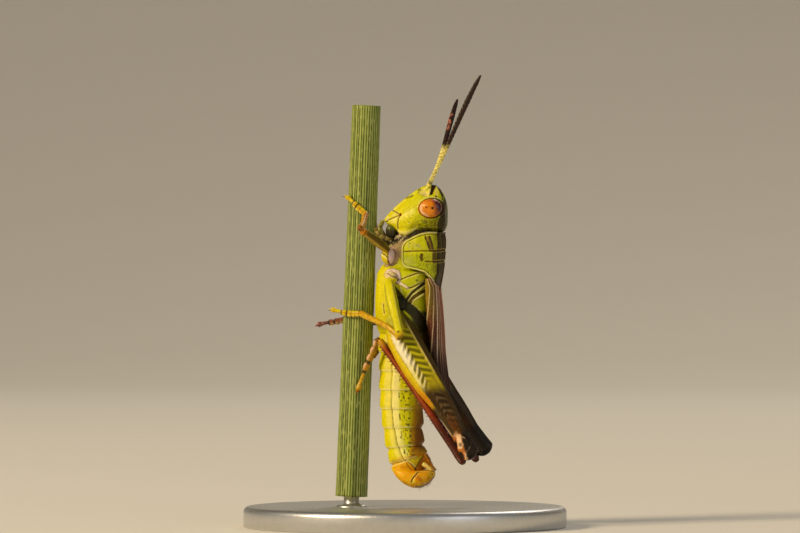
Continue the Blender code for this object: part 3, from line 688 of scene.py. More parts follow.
def lookHead(places, along, around, out):
    left = onLeft(places)
    x, y, z = places.T
    at, near = markers("head", left)
    line = lambda points, half, edge=0.04: fade(near(*points), half, half + edge)
    sx, sz = shareOf("head", places).T[::2]      # shares from the front and from below
    side = np.abs(y)
    beside = soft(side, 0.3, 0.6)
    height = np.zeros(len(places))
    paint = flat("lime", places)
    # broad tones: lemon face, greener behind, mottled lower cheek
    paint = tint(paint,
        ("lemon", fade(sx, 0.25, 0.75), 0.75),
        ("leaf", soft(sx, 0.55, 0.9) * fade(sz, 0.3, 0.5), 0.55))
    mottle = cloud(places, 0.13, 1) * 0.6 + cloud(places, 0.06, 2) * 0.4
    cheek = soft(sx, 0.30, 0.42) * fade(sz, 0.28, 0.44) * beside
    paint = tint(paint, ("olive", cheek * soft(mottle, 0.52, 0.68) * soft(sx, 0.45, 0.75), 0.5))
    height += cheek * (mottle - 0.5) * 0.05
    wrinkle = band(cloud(places, 0.20, 9), 0.5, 0.012, 0.035) * soft(sx, 0.28, 0.38) * fade(sz, 0.34, 0.5)
    wrinkle *= beside
    height -= 0.022 * wrinkle
    paint = tint(paint, ("#7E8A1E", wrinkle, 0.55))
    # the pale cream beside the wrinkles is a painted highlight
    wrinkleHighlight = band(cloud(places, 0.20, 9), 0.57, 0.012, 0.03) * soft(wrinkle + cheek, 0.0, 0.5)
    paint = tint(paint, ("cream", wrinkleHighlight, 0.45))
    # painted shade darkens the lower rear of the cheek
    rearShade = soft(sx - 0.5 * sz + 0.2 * (mottle - 0.5), 0.36, 0.66) * fade(sz, 0.30, 0.42) * beside
    paint = tint(paint, ("#6E5E14", rearShade, 0.5))
    stipple = pits(places, 0.075, 3) * soft(sx, 0.44, 0.56) * fade(sz, 0.28, 0.38) * beside
    paint = tint(paint, ("#3A3A0C", stipple, 0.75))
    height -= 0.014 * stipple
    # the front of the cheek hangs over the throat
    height += (0.20 * fade(sz, 0.02, 0.17) * soft(sx, 0.20, 0.30) * fade(sx, 0.48, 0.75)
               * soft(side, 0.4, 0.65))
    height += 0.07 * fade(sz, 0.05, 0.2) * soft(sx, 0.72, 0.85)
    # cream streaks over the lip shield
    streak = (soft(cloud(places * (0.5, 1, 1), 0.12, 8), 0.5, 0.7) * fade(sx, 0.16, 0.30)
              * soft(sz, 0.18, 0.3))
    paint = tint(paint, ("cream", streak, 0.65))
    # ridge down the face between two keels, with a shallow trough
    face = soft(sz, 0.35, 0.5) * fade(sx, 0.80, 0.92)
    half = head["ridgeHalf"] * (1.0 + 0.7 * (1 - sx))
    height += face * head["frontRidge"] * (band(side, half, 0.04, 0.09)
                                           - 0.6 * band(side, 0, half * 0.35, 0.1))
    # side keel of the face, from the socket to the pit beside the lip shield
    keel = [at(0.70, 0.74, 0.66), at(0.60, 0.80, 0.64), at(0.46, 0.83, 0.55), at(0.283, 0.75, 0.43)]
    height += 0.035 * line(keel, 0.02, 0.09)
    paint = tint(paint, ("cream", line(keel[:2], 0.03, 0.05), 0.7))
    # antenna socket: pale dished skin with a dark rim
    socket = near(at(0.60, 0.47, 0.86), at(0.69, 0.58, 0.81))
    height -= 0.05 * fade(socket, 0.08, 0.2)
    paint = tint(paint,
        ("straw", fade(socket, 0.12, 0.2), 0.6),
        ("lilac", fade(socket + 0.12 * (mottle - 0.5), 0.06, 0.15)
         * soft(cloud(places, 0.09, 6), 0.35, 0.6), 0.6),
        ("umber", band(socket + 0.10 * (mottle - 0.5), 0.17, 0.008, 0.03) * soft(mottle, 0.45, 0.6), 0.7))
    # dark ring marks in a row down the ridge
    for mark, size in ((at(0.571, 0.30, 0.90), 0.075), (at(0.459, 0.39, 0.775), 0.06),
                       (at(0.376, 0.30, 0.735), 0.06), (at(0.42, 0.35, 0.75), 0.04)):
        ring = distance(left, [mark])
        paint = tint(paint, ("olive", band(ring, size, 0.012, 0.03), 0.8))
        height -= 0.03 * fade(ring, size * 0.5, size * 1.4)
    # brown bars before the eye and along the crown, with the lemon wedge and its ocellus between
    barOne = [at(0.81, 0.14, 1.0), at(0.80, 0.24, 0.96), at(0.785, 0.40, 0.89), at(0.773, 0.56, 0.815)]
    barTwo = [at(0.86, 0.06, 0.93), at(0.888, 0.16, 0.905), at(0.945, 0.24, 0.80), at(0.985, 0.30, 0.68)]
    wedge = [at(0.845, 0.30, 0.90), at(0.85, 0.50, 0.80)]
    paint = tint(paint,
        ("lemon", line(wedge, 0.14, 0.08)),
        ("cream", line(wedge, 0.05, 0.10), 0.5),
        ("#231005", fade(near(*barOne) - 0.13 * (sz - 0.88), 0.085, 0.12)),
        ("#231005", line(barTwo, 0.105, 0.035)))
    root = [at(0.742, 0.46, 0.90), at(0.735, 0.52, 0.84), at(0.728, 0.60, 0.77)]
    paint = tint(paint, ("#E6D884", line(root, 0.045, 0.04), 0.85))
    height += 0.03 * line(root, 0.03, 0.07)
    ocellus = distance(left, [at(0.853, 0.57, 0.765)])
    paint = tint(paint, ("black", fade(ocellus, 0.045, 0.075)))
    height += 0.03 * fade(ocellus, 0.03, 0.07)
    # crown: dark olive with a paler line on each side
    crown = soft(sx, 0.915, 0.955) * fade(sz, 0.70, 0.80)
    paint = tint(paint,
        ("olive", crown, 0.85),
        ("leaf", crown * band(side, 0.30, 0.04, 0.06), 0.8))
    # the dark stripe of the saddle runs on up the back of the head, partly its own dark colour and partly
    # painted shade
    nape = soft(x - np.interp(z, (15.2, 15.9, 16.3, 17.0, 17.7), (1.74, 1.80, 1.95, 2.07, 2.16)),
                -0.02, 0.07) * fade(side, 0.95, 1.10)
    paint = tint(paint, ("#221A08", nape * (1 - 0.7 * band(side, 0.05, 0.03, 0.10)), 0.93))
    back = x - np.interp(z, (15.2, 15.9, 16.3, 17.0, 17.7), (1.70, 1.76, 1.91, 2.03, 2.12))
    seam = band(back, -0.03, 0.008, 0.025) * fade(z, 16.1, 16.5) * soft(side, 0.4, 0.6)
    paint = tint(paint, ("umber", seam, 0.85))
    height -= 0.035 * band(back, -0.03, 0.008, 0.04) * fade(z, 16.1, 16.5)
    paint = tint(paint, ("#8A8A2A", band(back, 0.045, 0.010, 0.03) * fade(z, 16.2, 16.6)
                         * soft(side, 0.4, 0.6), 0.6))
    # eye rim
    eye = fromMiddle("eye_left", left)
    ring = np.linalg.norm(eye[:, (0, 2)], axis=1)
    height += head["rim"] * band(ring, 1.10, 0.03, 0.10) * beside
    paint = tint(paint,
        ("lemon", band(ring, 1.17, 0.03, 0.08) * fade(sx, 0.6, 0.85), 0.5),
        ("cream", band(ring, 1.20, 0.02, 0.06) * soft(eye[:, 2], 0.55, 0.85) * beside, 0.7))
    shadow = soft(eye[:, 0], 0.75, 1.0) * fade(ring, 1.15, 1.5) * fade(eye[:, 2], 0.5, 0.9) * beside
    paint = tint(paint,
        ("#2E1A0C", shadow, 0.85),
        ("#3A1A0A", band(ring, 1.04, 0.06, 0.04) * beside, 0.9))
    # seams: lip shield, its lower fold, cheek seam and the dark pit where they meet
    pit = at(0.283, 0.75, 0.416)
    seams = ([at(0.146, 0.0, 0.50), at(0.146, 0.34, 0.491), at(0.20, 0.52, 0.47), pit],
             [at(0.02, 0.1, 0.27), at(0.02, 0.32, 0.27), at(0.12, 0.50, 0.32), at(0.26, 0.72, 0.40)],
             [pit, at(0.262, 0.74, 0.34), at(0.236, 0.75, 0.176), at(0.22, 0.70, 0.05)],
             [at(0.34, 0.95, 0.36), at(0.46, 0.98, 0.25), at(0.56, 0.98, 0.16)],
             [at(0.34, 0.95, 0.30), at(0.40, 0.96, 0.20)])
    for i, seam in enumerate(seams):
        weight = 1.0 if i < 3 else 0.35
        gap = near(*seam)
        height -= weight * head["seam"] * fade(gap, 0.012, 0.06)
        paint = tint(paint,
            ("cream", fade(gap, 0.06, 0.11), 0.35 * weight),
            ("umber", fade(gap, 0.014, 0.045), 0.85 * weight))
    dip = near(pit, pit)
    height -= 0.07 * fade(dip, 0.04, 0.11)
    paint = tint(paint,
        ("rust", fade(dip, 0.07, 0.11)),
        ("umber", fade(dip, 0.03, 0.06)))
    # cream hem along the lower edge of the cheek, and painted shade along the rear of the lowest edge
    # where the head meets the saddle
    hem = [at(0.22, 0.72, 0.06), at(0.36, 0.80, 0.03), at(0.46, 0.80, 0.05), at(0.572, 0.82, 0.11),
           at(0.75, 0.80, 0.12), at(0.95, 0.60, 0.14)]
    hemGap = near(*hem) + 0.05 * soft(sx, 0.45, 0.65)
    paint = tint(paint,
        ("cream", fade(hemGap, 0.04, 0.09) * fade(sx, 0.80, 0.92), 0.75),
        ("#1C1006", fade(sz, 0.03, 0.07) * soft(sx, 0.55, 0.65) * soft(side, 0.3, 0.5), 0.9))
    height += 0.02 * fade(hemGap, 0.04, 0.10)
    # fine pores and rumpled chitin
    height += 0.006 * (cloud(places, 0.05, 4) - 0.5)
    paint = tint(paint, ("olive", soft(cloud(places, 0.045, 7), 0.80, 0.92), 0.35))
    return height, paint


def makeHead():
    centres, firsts, seconds, radii = castAlong(["head"], 0, head["stations"], head["around"])
    radii = blur(radii, 14, 8)
    mesh = ringMesh("headCapsule", centres, firsts, seconds, radii)
    addPiece("headCapsule", mesh, lookHead, limeChitin, "lime_cuticle", "head")


# eyes and mouth

eyes = {"segments": 96, "rings": 64, "facet": 0.03, "amber": "#DC8624", "deep": "#7A2E0C",
        "pale": "#EBC39A", "paintedShade": "#2A1530", "grow": (1.08, 1.0, 1.03)}


def ballMesh(name, node, segments, rings, smooth=6):
    # a fine ball drawn on to a rounded solid
    tree = solidTree(node)
    low, high = box(node)
    centre = Vector((low + high) / 2)
    shape = bmesh.new()
    along = shape.verts.layers.float.new("along")
    around = shape.verts.layers.float.new("around")
    bmesh.ops.create_uvsphere(shape, u_segments=segments, v_segments=rings, radius=1.0)
    stretch = Matrix.Diagonal((*(high - low) / 2, 1.0))
    bmesh.ops.transform(shape, matrix=stretch, verts=shape.verts[:])
    for vert in shape.verts:
        way = vert.co.normalized()
        hit = tree.ray_cast(centre + way * 5, -way, 5)[0]
        if hit is not None:
            vert.co = hit - centre
        vert[along] = way.z * 0.5 + 0.5
    for step in range(smooth):
        bmesh.ops.smooth_vert(shape, verts=shape.verts[:], factor=0.5, use_axis_x=True, use_axis_y=True,
                              use_axis_z=True)
    bmesh.ops.translate(shape, verts=shape.verts[:], vec=centre)
    return meshOf(name, shape)


# compound eye: a clear domed lens layer, finely faceted, over orange pigment
compoundEye = addFinish("compoundEye", mottle=0.08, mottleSize=0.16, poreSize=eyes["facet"],
                        grainSize=0.02, bump=0.5, bumpDepth=0.004, roughness=0.22, glow=0.25,
                        glowDepth=0.1, coat=0.55, coatRoughness=0.10)


def makeEyes():
    def look(places, along, around, out):
        left = onLeft(places)
        share = fromMiddle("eye_left", left)      # -1 to 1 along X, Y and Z
        sx, sy, sz = share.T
        paint = flat(eyes["amber"], places)
        # painted shade darkens the rear half of the eye, darkest at its rear edge, and the lilac band
        # along the top is a painted highlight
        paint = tint(paint,
            (eyes["deep"], soft(sx + 0.15 * sz, 0.15, 0.62), 0.85),
            (eyes["paintedShade"], soft(sx + 0.30 * sz, 0.48, 0.82), 0.95),
            ("#8C5A66", band(sz, 0.80, 0.07, 0.10) * soft(sx, -0.5, 0.1), 0.5))
        edge = np.linalg.norm(share[:, (0, 2)], axis=1)
        # the pale crescent along the front lower edge is a painted highlight
        front = soft(-sx - 0.5 * sz, 0.25, 0.75)
        paint = tint(paint,
            (eyes["pale"], front * band(edge, 0.82, 0.07, 0.12), 0.95),
            (eyes["deep"], soft(edge, 0.92, 0.98), 0.85))
        clouds = cloud(share * (1.0, 1.0, 3.0), 0.5, 12)
        paint = tint(paint, (eyes["deep"], soft(clouds, 0.55, 0.8), 0.25))
        for x, z, size in ((-0.29, 0.07, 0.085), (0.25, 0.0, 0.125)):
            spotMask = fade(np.hypot((sx - x) * 1.2, sz - z), size * 0.8, size * 1.4)
            paint = tint(paint, ("#0A0403", spotMask * (sy < 0), 1.0))
        return np.zeros(len(places)), paint
    for side in sides:
        mesh = ballMesh("eye_" + side, "eye_" + side, eyes["segments"], eyes["rings"])
        # grown forwards and upwards from its rear side
        low, high = box("eye_" + side)
        rear = Vector((high[0], (low[1] + high[1]) / 2, (low[2] + high[2]) / 2))
        grow = Matrix.Translation(rear) @ Matrix.Diagonal((*eyes["grow"], 1))
        mesh.transform(grow @ Matrix.Translation(-rear))
        addPiece("compoundEye_" + side, mesh, look, compoundEye, "compound_eye", "eye_" + side)


mouth = {"jawDark": "#2E2A12", "lip": "#D8CF74", "jawGrow": (1.15, 1.2, 1.3)}
palp = {"joints": 4.2, "start": 0.02, "end": 0.80, "radius": 0.085, "swell": 0.035, "neck": 0.06,
        "colour": "#86703A"}


def makeMouth():
    def lookJaw(places, along, around, out):
        sz = shareOf("mandible_left", onLeft(places))[:, 2]
        grain = cloud(places, 0.07, 21)
        paint = tint(
            flat(mouth["jawDark"], places),
            ("olive", soft(grain, 0.4, 0.7), 0.6),
            ("black", fade(sz, 0.12, 0.35), 0.9), ("leaf", soft(sz, 0.55, 0.9), 0.25))
        return 0.02 * (grain - 0.5), paint

    def lookLip(places, along, around, out):
        sz = shareOf("labrum", places)[:, 2]
        middle = np.abs(places[:, 1])
        paint = flat(mouth["lip"], places)
        paint = tint(paint,
            ("lime", soft(cloud(places, 0.12, 22), 0.45, 0.7), 0.5),
            ("umber", fade(sz, 0.06, 0.16), 0.6))
        notch = fade(sz, 0.02, 0.25) * fade(middle, 0.02, 0.1)
        fold = band(sz, 0.62, 0.02, 0.06)
        paint = tint(paint, ("olive", fold, 0.6))
        return 0.01 * (cloud(places, 0.06, 23) - 0.5) - 0.03 * fold - 0.04 * notch, paint

    mesh = ballMesh("lip", "labrum", 72, 48, 3)
    addPiece("lip", mesh, lookLip, bellyChitin, "lime_cuticle", "labrum")
    for side in sides:
        mesh = ballMesh("jaw_" + side, "mandible_" + side, 72, 48, 3)
        low, high = box("mandible_" + side)
        grow = Matrix.Translation(Vector((low + high) / 2)) @ Matrix.Diagonal((*mouth["jawGrow"], 1))
        mesh.transform(grow @ Matrix.Translation(-Vector((low + high) / 2)))
        addPiece("jaw_" + side, mesh, lookJaw, tannedChitin, "dark_cuticle", "mandible_" + side)
        makePalp(side)


def makePalp(side):
    # a chain of short joints, each a little club
    line = spineOf("palp_" + side, "mandible_" + side)
    start, end, swell = (palp[key] for key in ("start", "end", "swell"))
    share = np.linspace(start, end, 90)
    joint = (share * palp["joints"]) % 1.0
    radius = palp["radius"] + swell * joint ** 1.5 - swell * (joint < palp["neck"]) + 0.02 * share
    mesh = tubeMesh("palp_" + side, line(share), radius, radius, (1, 0, 0.2), 24)

    def look(places, along, around, out):
        step = ((start + 0.78 * np.clip((along - 0.05) / 0.9, 0, 1)) * palp["joints"]) % 1.0
        paint = tint(
            flat(palp["colour"], places),
            ("straw", soft(step, 0.3, 0.9), 0.55),
            ("#2A1A0C", soft(-np.cos(around * tau + 0.6), 0.1, 0.7), 0.75),
            ("umber", fade(step, 0.05, 0.22), 0.85))
        return 0.004 * (cloud(places, 0.04, 25) - 0.5), paint
    addPiece("palpChain_" + side, mesh, look, tannedChitin, "dark_cuticle", "palp_" + side)


# feelers

# radii in millimetres at shares of the length, from the root to the tip
feeler = {"joints": 25, "groove": 0.10, "start": -0.035, "end": 0.985, "flatness": 0.82,
          "stops": (0, 0.12, 0.35, 0.55, 0.75, 0.92, 0.985),
          "radii": (0.115, 0.095, 0.115, 0.14, 0.155, 0.12, 0.06),
          "greenTo": {"left": 0.32, "right": 0.40}}
feelerRoot = {"reach": 0.35, "sink": 0.12, "stops": (0, 0.55, 0.62, 0.90, 1.0),
              "radii": (0.105, 0.105, 0.085, 0.105, 0.08)}


def makeFeeler(side, sign):
    line = spineOf("antenna_" + side, "antenna_base_" + side)
    share = np.linspace(feeler["start"], feeler["end"], 330)
    points = line(share)
    joint = (share * feeler["joints"]) % 1.0
    groove = feeler["groove"] * fade(np.minimum(joint, 1 - joint), 0.02, 0.22)
    radius = np.interp(share, feeler["stops"], feeler["radii"]) * (1 - groove)
    up = (0.2, sign * 0.6, -0.7)
    mesh = tubeMesh("feeler_" + side, points, radius * feeler["flatness"], radius, up, 26)

    def look(places, along, around, out):
        place = np.clip(-0.035 + 1.02 * (along - 0.015) / 0.97, 0, 1)
        step = (place * feeler["joints"]) % 1.0
        ring = fade(np.minimum(step, 1 - step), 0.05, 0.16)
        grain = cloud(places, 0.06, 31)
        green = tint(flat("#EBDC84", places),
            ("#F4EBB8", soft(grain, 0.45, 0.75), 0.6),
            ("olive", ring * (0.35 + 0.65 * soft(cloud(places, 0.09, 32), 0.40, 0.6)), 0.8))
        dots = soft(np.cos(around * tau + 1.2), 0.55, 0.85) * band(step, 0.5, 0.16, 0.12)
        green = tint(green, ("#5A5018", dots, 0.6))
        dark = tint(flat("#1C0C0A", places), ("#4A1F18", soft(grain, 0.5, 0.85), 0.45))
        # the pinkish patch on the outer side of the dark part is a painted highlight
        rosyHighlight = band(place, 0.70, 0.07, 0.05) * soft(-np.cos(around * tau + 0.8), -0.1, 0.6)
        dark = tint(dark,
            ("#C98470", rosyHighlight * soft(grain, 0.40, 0.60), 0.85),
            ("#120808", ring, 0.6))
        greenTo = feeler["greenTo"][side]
        shade = soft(place + 0.05 * (grain - 0.5), greenTo - 0.04, greenTo + 0.04)[:, None]
        return 0.004 * (grain - 0.5), green * (1 - shade) + dark * shade
    addPiece("feeler_" + side, mesh, look, tannedChitin, "dark_cuticle", "antenna_" + side)
    # the stout first joint rises from the head in line with the feeler
    root = Vector(points[0])
    away = (Vector(points[12]) - root).normalized()
    skin = solidTree("head").find_nearest(root - away * feelerRoot["reach"])[0]
    heel = skin + (skin - root).normalized() * feelerRoot["sink"]
    elbow, top = root - away * (root - heel).length * 0.5, root + away * 0.05
    share = np.linspace(0, 1, 60)[:, None]
    path = (np.array(heel) * (1 - share) ** 2 + 2 * share * (1 - share) * np.array(elbow)
            + np.array(top) * share ** 2)
    radius = np.interp(share[:, 0], feelerRoot["stops"], feelerRoot["radii"])
    mesh = tubeMesh("feelerBase_" + side, path, radius, radius, up, 36)

    def lookBase(places, along, around, out):
        grain = cloud(places, 0.08, 33)
        paint = tint(flat("#E6D870", places),
            ("cream", soft(grain, 0.4, 0.8), 0.6),
            ("umber", band(along, 0.58, 0.008, 0.02), 0.7))
        return 0.006 * (grain - 0.5), paint
    addPiece("feelerBase_" + side, mesh, lookBase, limeChitin, "lime_cuticle", "antenna_base_" + side)


# saddle behind the head

# middle is the X of its axis in millimetres, turn how far it wraps in degrees
saddle = {"rows": 170, "columns": 120, "middle": 0.55, "turn": 150, "wall": 0.16, "rim": 0.025,
          "keel": 0.05, "furrow": 0.045, "pitSize": 0.085}


def sheetGrid(node, axisAt, sign, rows, columns, turn):
    # points over the outer face of an open shell, from its top line down to its lower edge
    tree = solidTree(node)
    low, high = box(node)
    scan = np.linspace(low[2] + 0.04, high[2] - 0.04, 90)
    angles = np.radians(np.arange(0.3, turn, 1.0))

    def hitAt(z, angle):
        way = Vector((cos(angle), sign * sin(angle), 0))
        centre = Vector((axisAt(z), 0, z))
        return tree.ray_cast(centre + way * 5, -way, 5)[0]
    limits = []
    for z in scan:
        found = [angle for angle in angles if hitAt(z, angle) is not None]
        limits.append((found[0], found[-1]) if found else (np.nan, np.nan))
    limits = np.array(limits)
    known = ~np.isnan(limits[:, 0])
    limits = np.column_stack([np.interp(scan, scan[known], column[known]) for column in limits.T])
    # the widest stretch of the edge nearby, so that rounded corners stay on the sheet
    first = np.array([limits[max(i - 3, 0):i + 4, 0].min() for i in range(len(scan))])
    last = np.array([limits[max(i - 3, 0):i + 4, 1].max() for i in range(len(scan))])
    first, last = (blur(column[:, None], 3, 0)[:, 0] for column in (first, last))

    def angleAt(z, share):
        near = np.interp(z, scan, first)
        return near + share * (np.interp(z, scan, last) - near)
    across = np.linspace(0, 1, columns)
    front, rear = [], []
    for share in across:
        hits = [z for z in scan if hitAt(z, angleAt(z, min(max(share, 0.02), 0.97))) is not None]
        front.append(max(hits) if hits else np.nan)
        rear.append(min(hits) if hits else np.nan)

    def smoothed(line):
        met = ~np.isnan(line)
        return blur(np.interp(across, across[met], line[met])[:, None], 8, 0)[:, 0]
    front, rear = smoothed(np.array(front)), smoothed(np.array(rear))
    centres = np.zeros((rows, columns, 3))
    angle = np.zeros((rows, columns))
    reach = np.full((rows, columns), np.nan)
    for i, down in enumerate(np.linspace(0, 1, rows)):
        for j, share in enumerate(across):
            z = front[j] + (rear[j] - front[j]) * down
            centres[i, j] = (axisAt(z), 0, z)
            angle[i, j] = angleAt(z, 0.015 + 0.965 * share)
            hit = hitAt(z, angle[i, j])
            if hit is not None:
                reach[i, j] = (hit - Vector(centres[i, j])).length
    # close small misses from their neighbours, then rub out the facets
    for lines in (reach, reach.T):
        for line in lines:
            lost = np.isnan(line)
            if lost.any() and not lost.all():
                line[lost] = np.interp(np.flatnonzero(lost), np.flatnonzero(~lost), line[~lost])
    reach = blur(reach, 10, 6, False)
    ways = np.stack((np.cos(angle), sign * np.sin(angle), np.zeros_like(angle)), axis=2)
    return centres + ways * reach[:, :, None]


def shellGrid(node, axisX, sign, rows, columns, turn):
    # points over a curved plate that ends front and rear at its own depth for every angle
    tree = solidTree(node)
    low, high = box(node)
    scan = np.linspace(low[2] + 0.01, high[2] - 0.01, 110)

    def hitAt(z, angle):
        way = Vector((cos(angle), sign * sin(angle), 0))
        return tree.ray_cast(Vector((axisX, 0, z)) + way * 5, -way, 5)[0]

    def edgeOf(inside, outside, angle):
        for step in range(9):
            middle = (inside + outside) / 2
            inside, outside = (middle, outside) if hitAt(middle, angle) else (inside, middle)
        return inside
    widest = max(angle for angle in np.radians(np.arange(40, turn, 0.5))
                 if sum(hitAt(z, angle) is not None for z in scan) > 25)
    angles = np.linspace(0.004, widest, columns)
    front, rear = np.zeros(columns), np.zeros(columns)
    for j, angle in enumerate(angles):
        met = [z for z in scan if hitAt(z, angle) is not None]
        front[j] = edgeOf(max(met), max(met) + 0.03, angle)
        rear[j] = edgeOf(min(met), min(met) - 0.03, angle)
    front, rear = (blur(line[:, None], 5, 0)[:, 0] for line in (front - 0.012, rear + 0.012))
    centres = np.zeros((rows, columns, 3))
    reach = np.full((rows, columns), np.nan)
    for j, angle in enumerate(angles):
        for i, down in enumerate(np.linspace(0, 1, rows)):
            z = front[j] + (rear[j] - front[j]) * down
            centres[i, j] = (axisX, 0, z)
            hit = hitAt(z, angle)
            if hit is not None:
                reach[i, j] = (hit - Vector(centres[i, j])).length
    for line in reach.T:
        lost = np.isnan(line)
        line[lost] = np.interp(np.flatnonzero(lost), np.flatnonzero(~lost), line[~lost])
    reach = blur(reach, 10, 8, False)
    ways = np.stack((np.cos(angles), sign * np.sin(angles), np.zeros(columns)), axis=1)
    return centres + ways[None] * reach[:, :, None]


def openSheet(name, grid, axisAt):
    # a single sheet whose faces look away from an axis in the middle plane, given as X at each Z
    mesh = gridMesh(name, grid, False)
    normals = arrayOf(mesh.polygon_normals, "vector", 3)
    centres = np.array([polygon.center for polygon in mesh.polygons])
    z = centres[:, 2]
    inside = np.column_stack((axisAt(z), z * 0, z))
    if np.sum(normals * (centres - inside)) < 0:
        mesh.flip_normals()
    return mesh


def thicken(piece, wall):
    shell = piece.modifiers.new("wall", "SOLIDIFY")
    shell.thickness = wall * mm
    shell.offset = -1
    shell.use_even_offset = False


def makeSaddle():
    middle = saddle["middle"]
    halves = [shellGrid("pronotum", middle, sign, saddle["rows"], saddle["columns"], saddle["turn"])
              for sign in (-1, 1)]
    crest = (halves[0][:, :1] + halves[1][:, :1]) / 2
    crest[:, :, 1] = 0
    grid = np.concatenate((halves[0][:, :0:-1], crest, halves[1][:, 1:]), axis=1)
    left = halves[0]
    border = [left[0, 0], *left[0, ::6], *left[::8, -1], *left[-1, ::-6]]
    mesh = openSheet("saddle", grid, lambda z: np.full(len(z), middle))

    def look(places, along, around, out):
        left = onLeft(places)
        x, y, z = places.T
        at, near = markers("pronotum", left)
        across = np.abs(around * 2 - 1)              # 0 on the crest, 1 at the lower edge
        height = np.zeros(len(places))
        grain = grainOf(places, 0.10, 41)
        paint = tint(flat("lime", places),
            ("leaf", soft(along + 0.3 * (grain - 0.5), 0.35, 0.8), 0.55),
            ("straw", soft(cloud(places, 0.16, 43), 0.55, 0.8) * soft(across, 0.55, 0.75), 0.35))
        # dark back between the two side keels, partly its own dark colour and partly painted shade; the
        # brown grading into it from the side is painted shade
        carina = [at(0.90, 0.47, 0.985), at(0.915, 0.41, 0.80), at(0.915, 0.40, 0.657),
                  at(0.90, 0.44, 0.45), at(0.879, 0.51, 0.294), at(0.82, 0.66, 0.16)]
        keelLine = near(*carina)
        beyond = np.abs(y) - np.interp(z, *np.array(sorted(
            (point[2], abs(point[1])) for point in carina)).T) - 0.15
        inner = fade(beyond, -0.01, 0.06) * soft(x, 1.2, 1.5)
        paint = tint(paint,
            ("#6A5512", soft(x + 0.25 * (grain - 0.5), 1.50, 1.86), 0.62),
            ("#201506", inner, 0.97),
            ("#4E4416", inner * soft(beyond, -0.13, -0.06) * soft(grain, 0.35, 0.6), 0.8),
            ("#0E0903", band(beyond, 0.0, 0.012, 0.03) * soft(x, 1.2, 1.5), 0.9),
            ("bark", inner * band(np.abs(y), 0.12, 0.03, 0.06), 0.4))
        height += saddle["keel"] * fade(keelLine, 0.02, 0.10)
        paint = tint(paint, ("#6B5E2A", fade(keelLine, 0.015, 0.045), 0.6))
        height += saddle["keel"] * fade(np.abs(y), 0.02, 0.10) * soft(x, 1.5, 1.8)
        # dark side stripe, brown block beside the keel and oblong spot
        stripeA = [at(0.60, 0.93, 0.90), at(0.66, 0.90, 0.80), at(0.71, 0.86, 0.69)]
        stripeB = [at(0.70, 0.86, 0.91), at(0.745, 0.80, 0.80), at(0.76, 0.76, 0.69)]
        stripeGaps = near(*stripeA), near(*stripeB)
        paint = tint(paint,
            ("#7C6018", fade(sum(stripeGaps) + 0.06 * (grain - 0.5), 0.25, 0.31), 0.85),
            ("#3E2409", fade(stripeGaps[0] + 0.05 * (grain - 0.5), 0.035, 0.075), 0.9),
            ("#3E2409", fade(stripeGaps[1] + 0.05 * (grain - 0.5), 0.045, 0.085), 0.85))
        block = [at(0.80, 0.67, 0.655), at(0.80, 0.68, 0.58), at(0.80, 0.69, 0.51)]
        paint = tint(paint, ("umber", fade(near(*block) + 0.04 * (grain - 0.5), 0.12, 0.17), 0.85))
        oblong = [at(0.515, 0.96, 0.605), at(0.50, 0.96, 0.57), at(0.515, 0.96, 0.525)]
        paint = tint(paint, ("umber", fade(near(*oblong) + 0.03 * (grain - 0.5), 0.075, 0.105), 0.9))
        for mark in (at(0.217, 0.97, 0.808), at(0.387, 0.98, 0.767), at(0.30, 0.98, 0.72)):
            paint = tint(paint, ("black", fade(distance(left, [mark]), 0.025, 0.05), 0.75))
        # cross furrows
        furrows = ([at(0.10, 0.92, 0.66), at(0.30, 0.98, 0.669), at(0.60, 0.92, 0.672),
                    at(0.82, 0.63, 0.672), at(0.98, 0.2, 0.69), at(1.0, 0.0, 0.69)],
                   [at(0.60, 0.93, 0.492), at(0.68, 0.86, 0.488), at(0.84, 0.60, 0.486),
                    at(0.98, 0.2, 0.50), at(1.0, 0.0, 0.50)],
                   [at(0.60, 0.92, 0.93), at(0.62, 0.91, 0.86)])
        for furrow in furrows:
            gap = near(*furrow)
            height -= saddle["furrow"] * fade(gap, 0.012, 0.06)
            paint = tint(paint,
                ("umber", fade(gap, 0.014, 0.045), 0.8),
                ("straw", band(gap, 0.07, 0.01, 0.03), 0.3))
        # rim round the whole margin: raised, cream, with a dark line inside it
        edge = distance(left, border)
        height += saddle["rim"] * fade(edge, 0.03, 0.09)
        height -= saddle["rim"] * 0.5 * band(edge, 0.12, 0.01, 0.05)
        paint = tint(paint,
            ("olive", band(edge, 0.10, 0.010, 0.03) * (1 - inner), 0.75),
            ("cream", fade(edge, 0.045, 0.07) * (1 - inner), 0.85),
            ("umber", fade(edge, 0.0, 0.02), 0.6))
        # pitted rear half
        rough = soft(along, 0.50, 0.62) * fade(1 - edge, 0.85, 0.95) * (1 - inner) * soft(x, 0.3, 0.9)
        holes = pits(places, saddle["pitSize"], 44)
        height -= 0.018 * rough * holes
        paint = tint(paint,
            ("#4A4A10", rough * holes, 0.7),
            ("#A9AE66", soft(along, 0.52, 0.66) * fade(x, 0.5, 1.1) * soft(grain, 0.3, 0.55), 0.5))
        haze = near(at(0.22, 0.97, 0.76), at(0.45, 0.97, 0.74))
        paint = tint(paint, ("#B3AC7C", fade(haze, 0.05, 0.30) * soft(grain, 0.35, 0.6), 0.55))
        height += 0.008 * (cloud(places, 0.05, 45) - 0.5)
        return height, paint
    thicken(addPiece("saddle", mesh, look, limeChitin, "lime_cuticle", "pronotum"), saddle["wall"])


# trunk under the saddle and the wings

trunk = {"stations": 230, "around": 300, "seam": 0.05, "hem": 0.11}
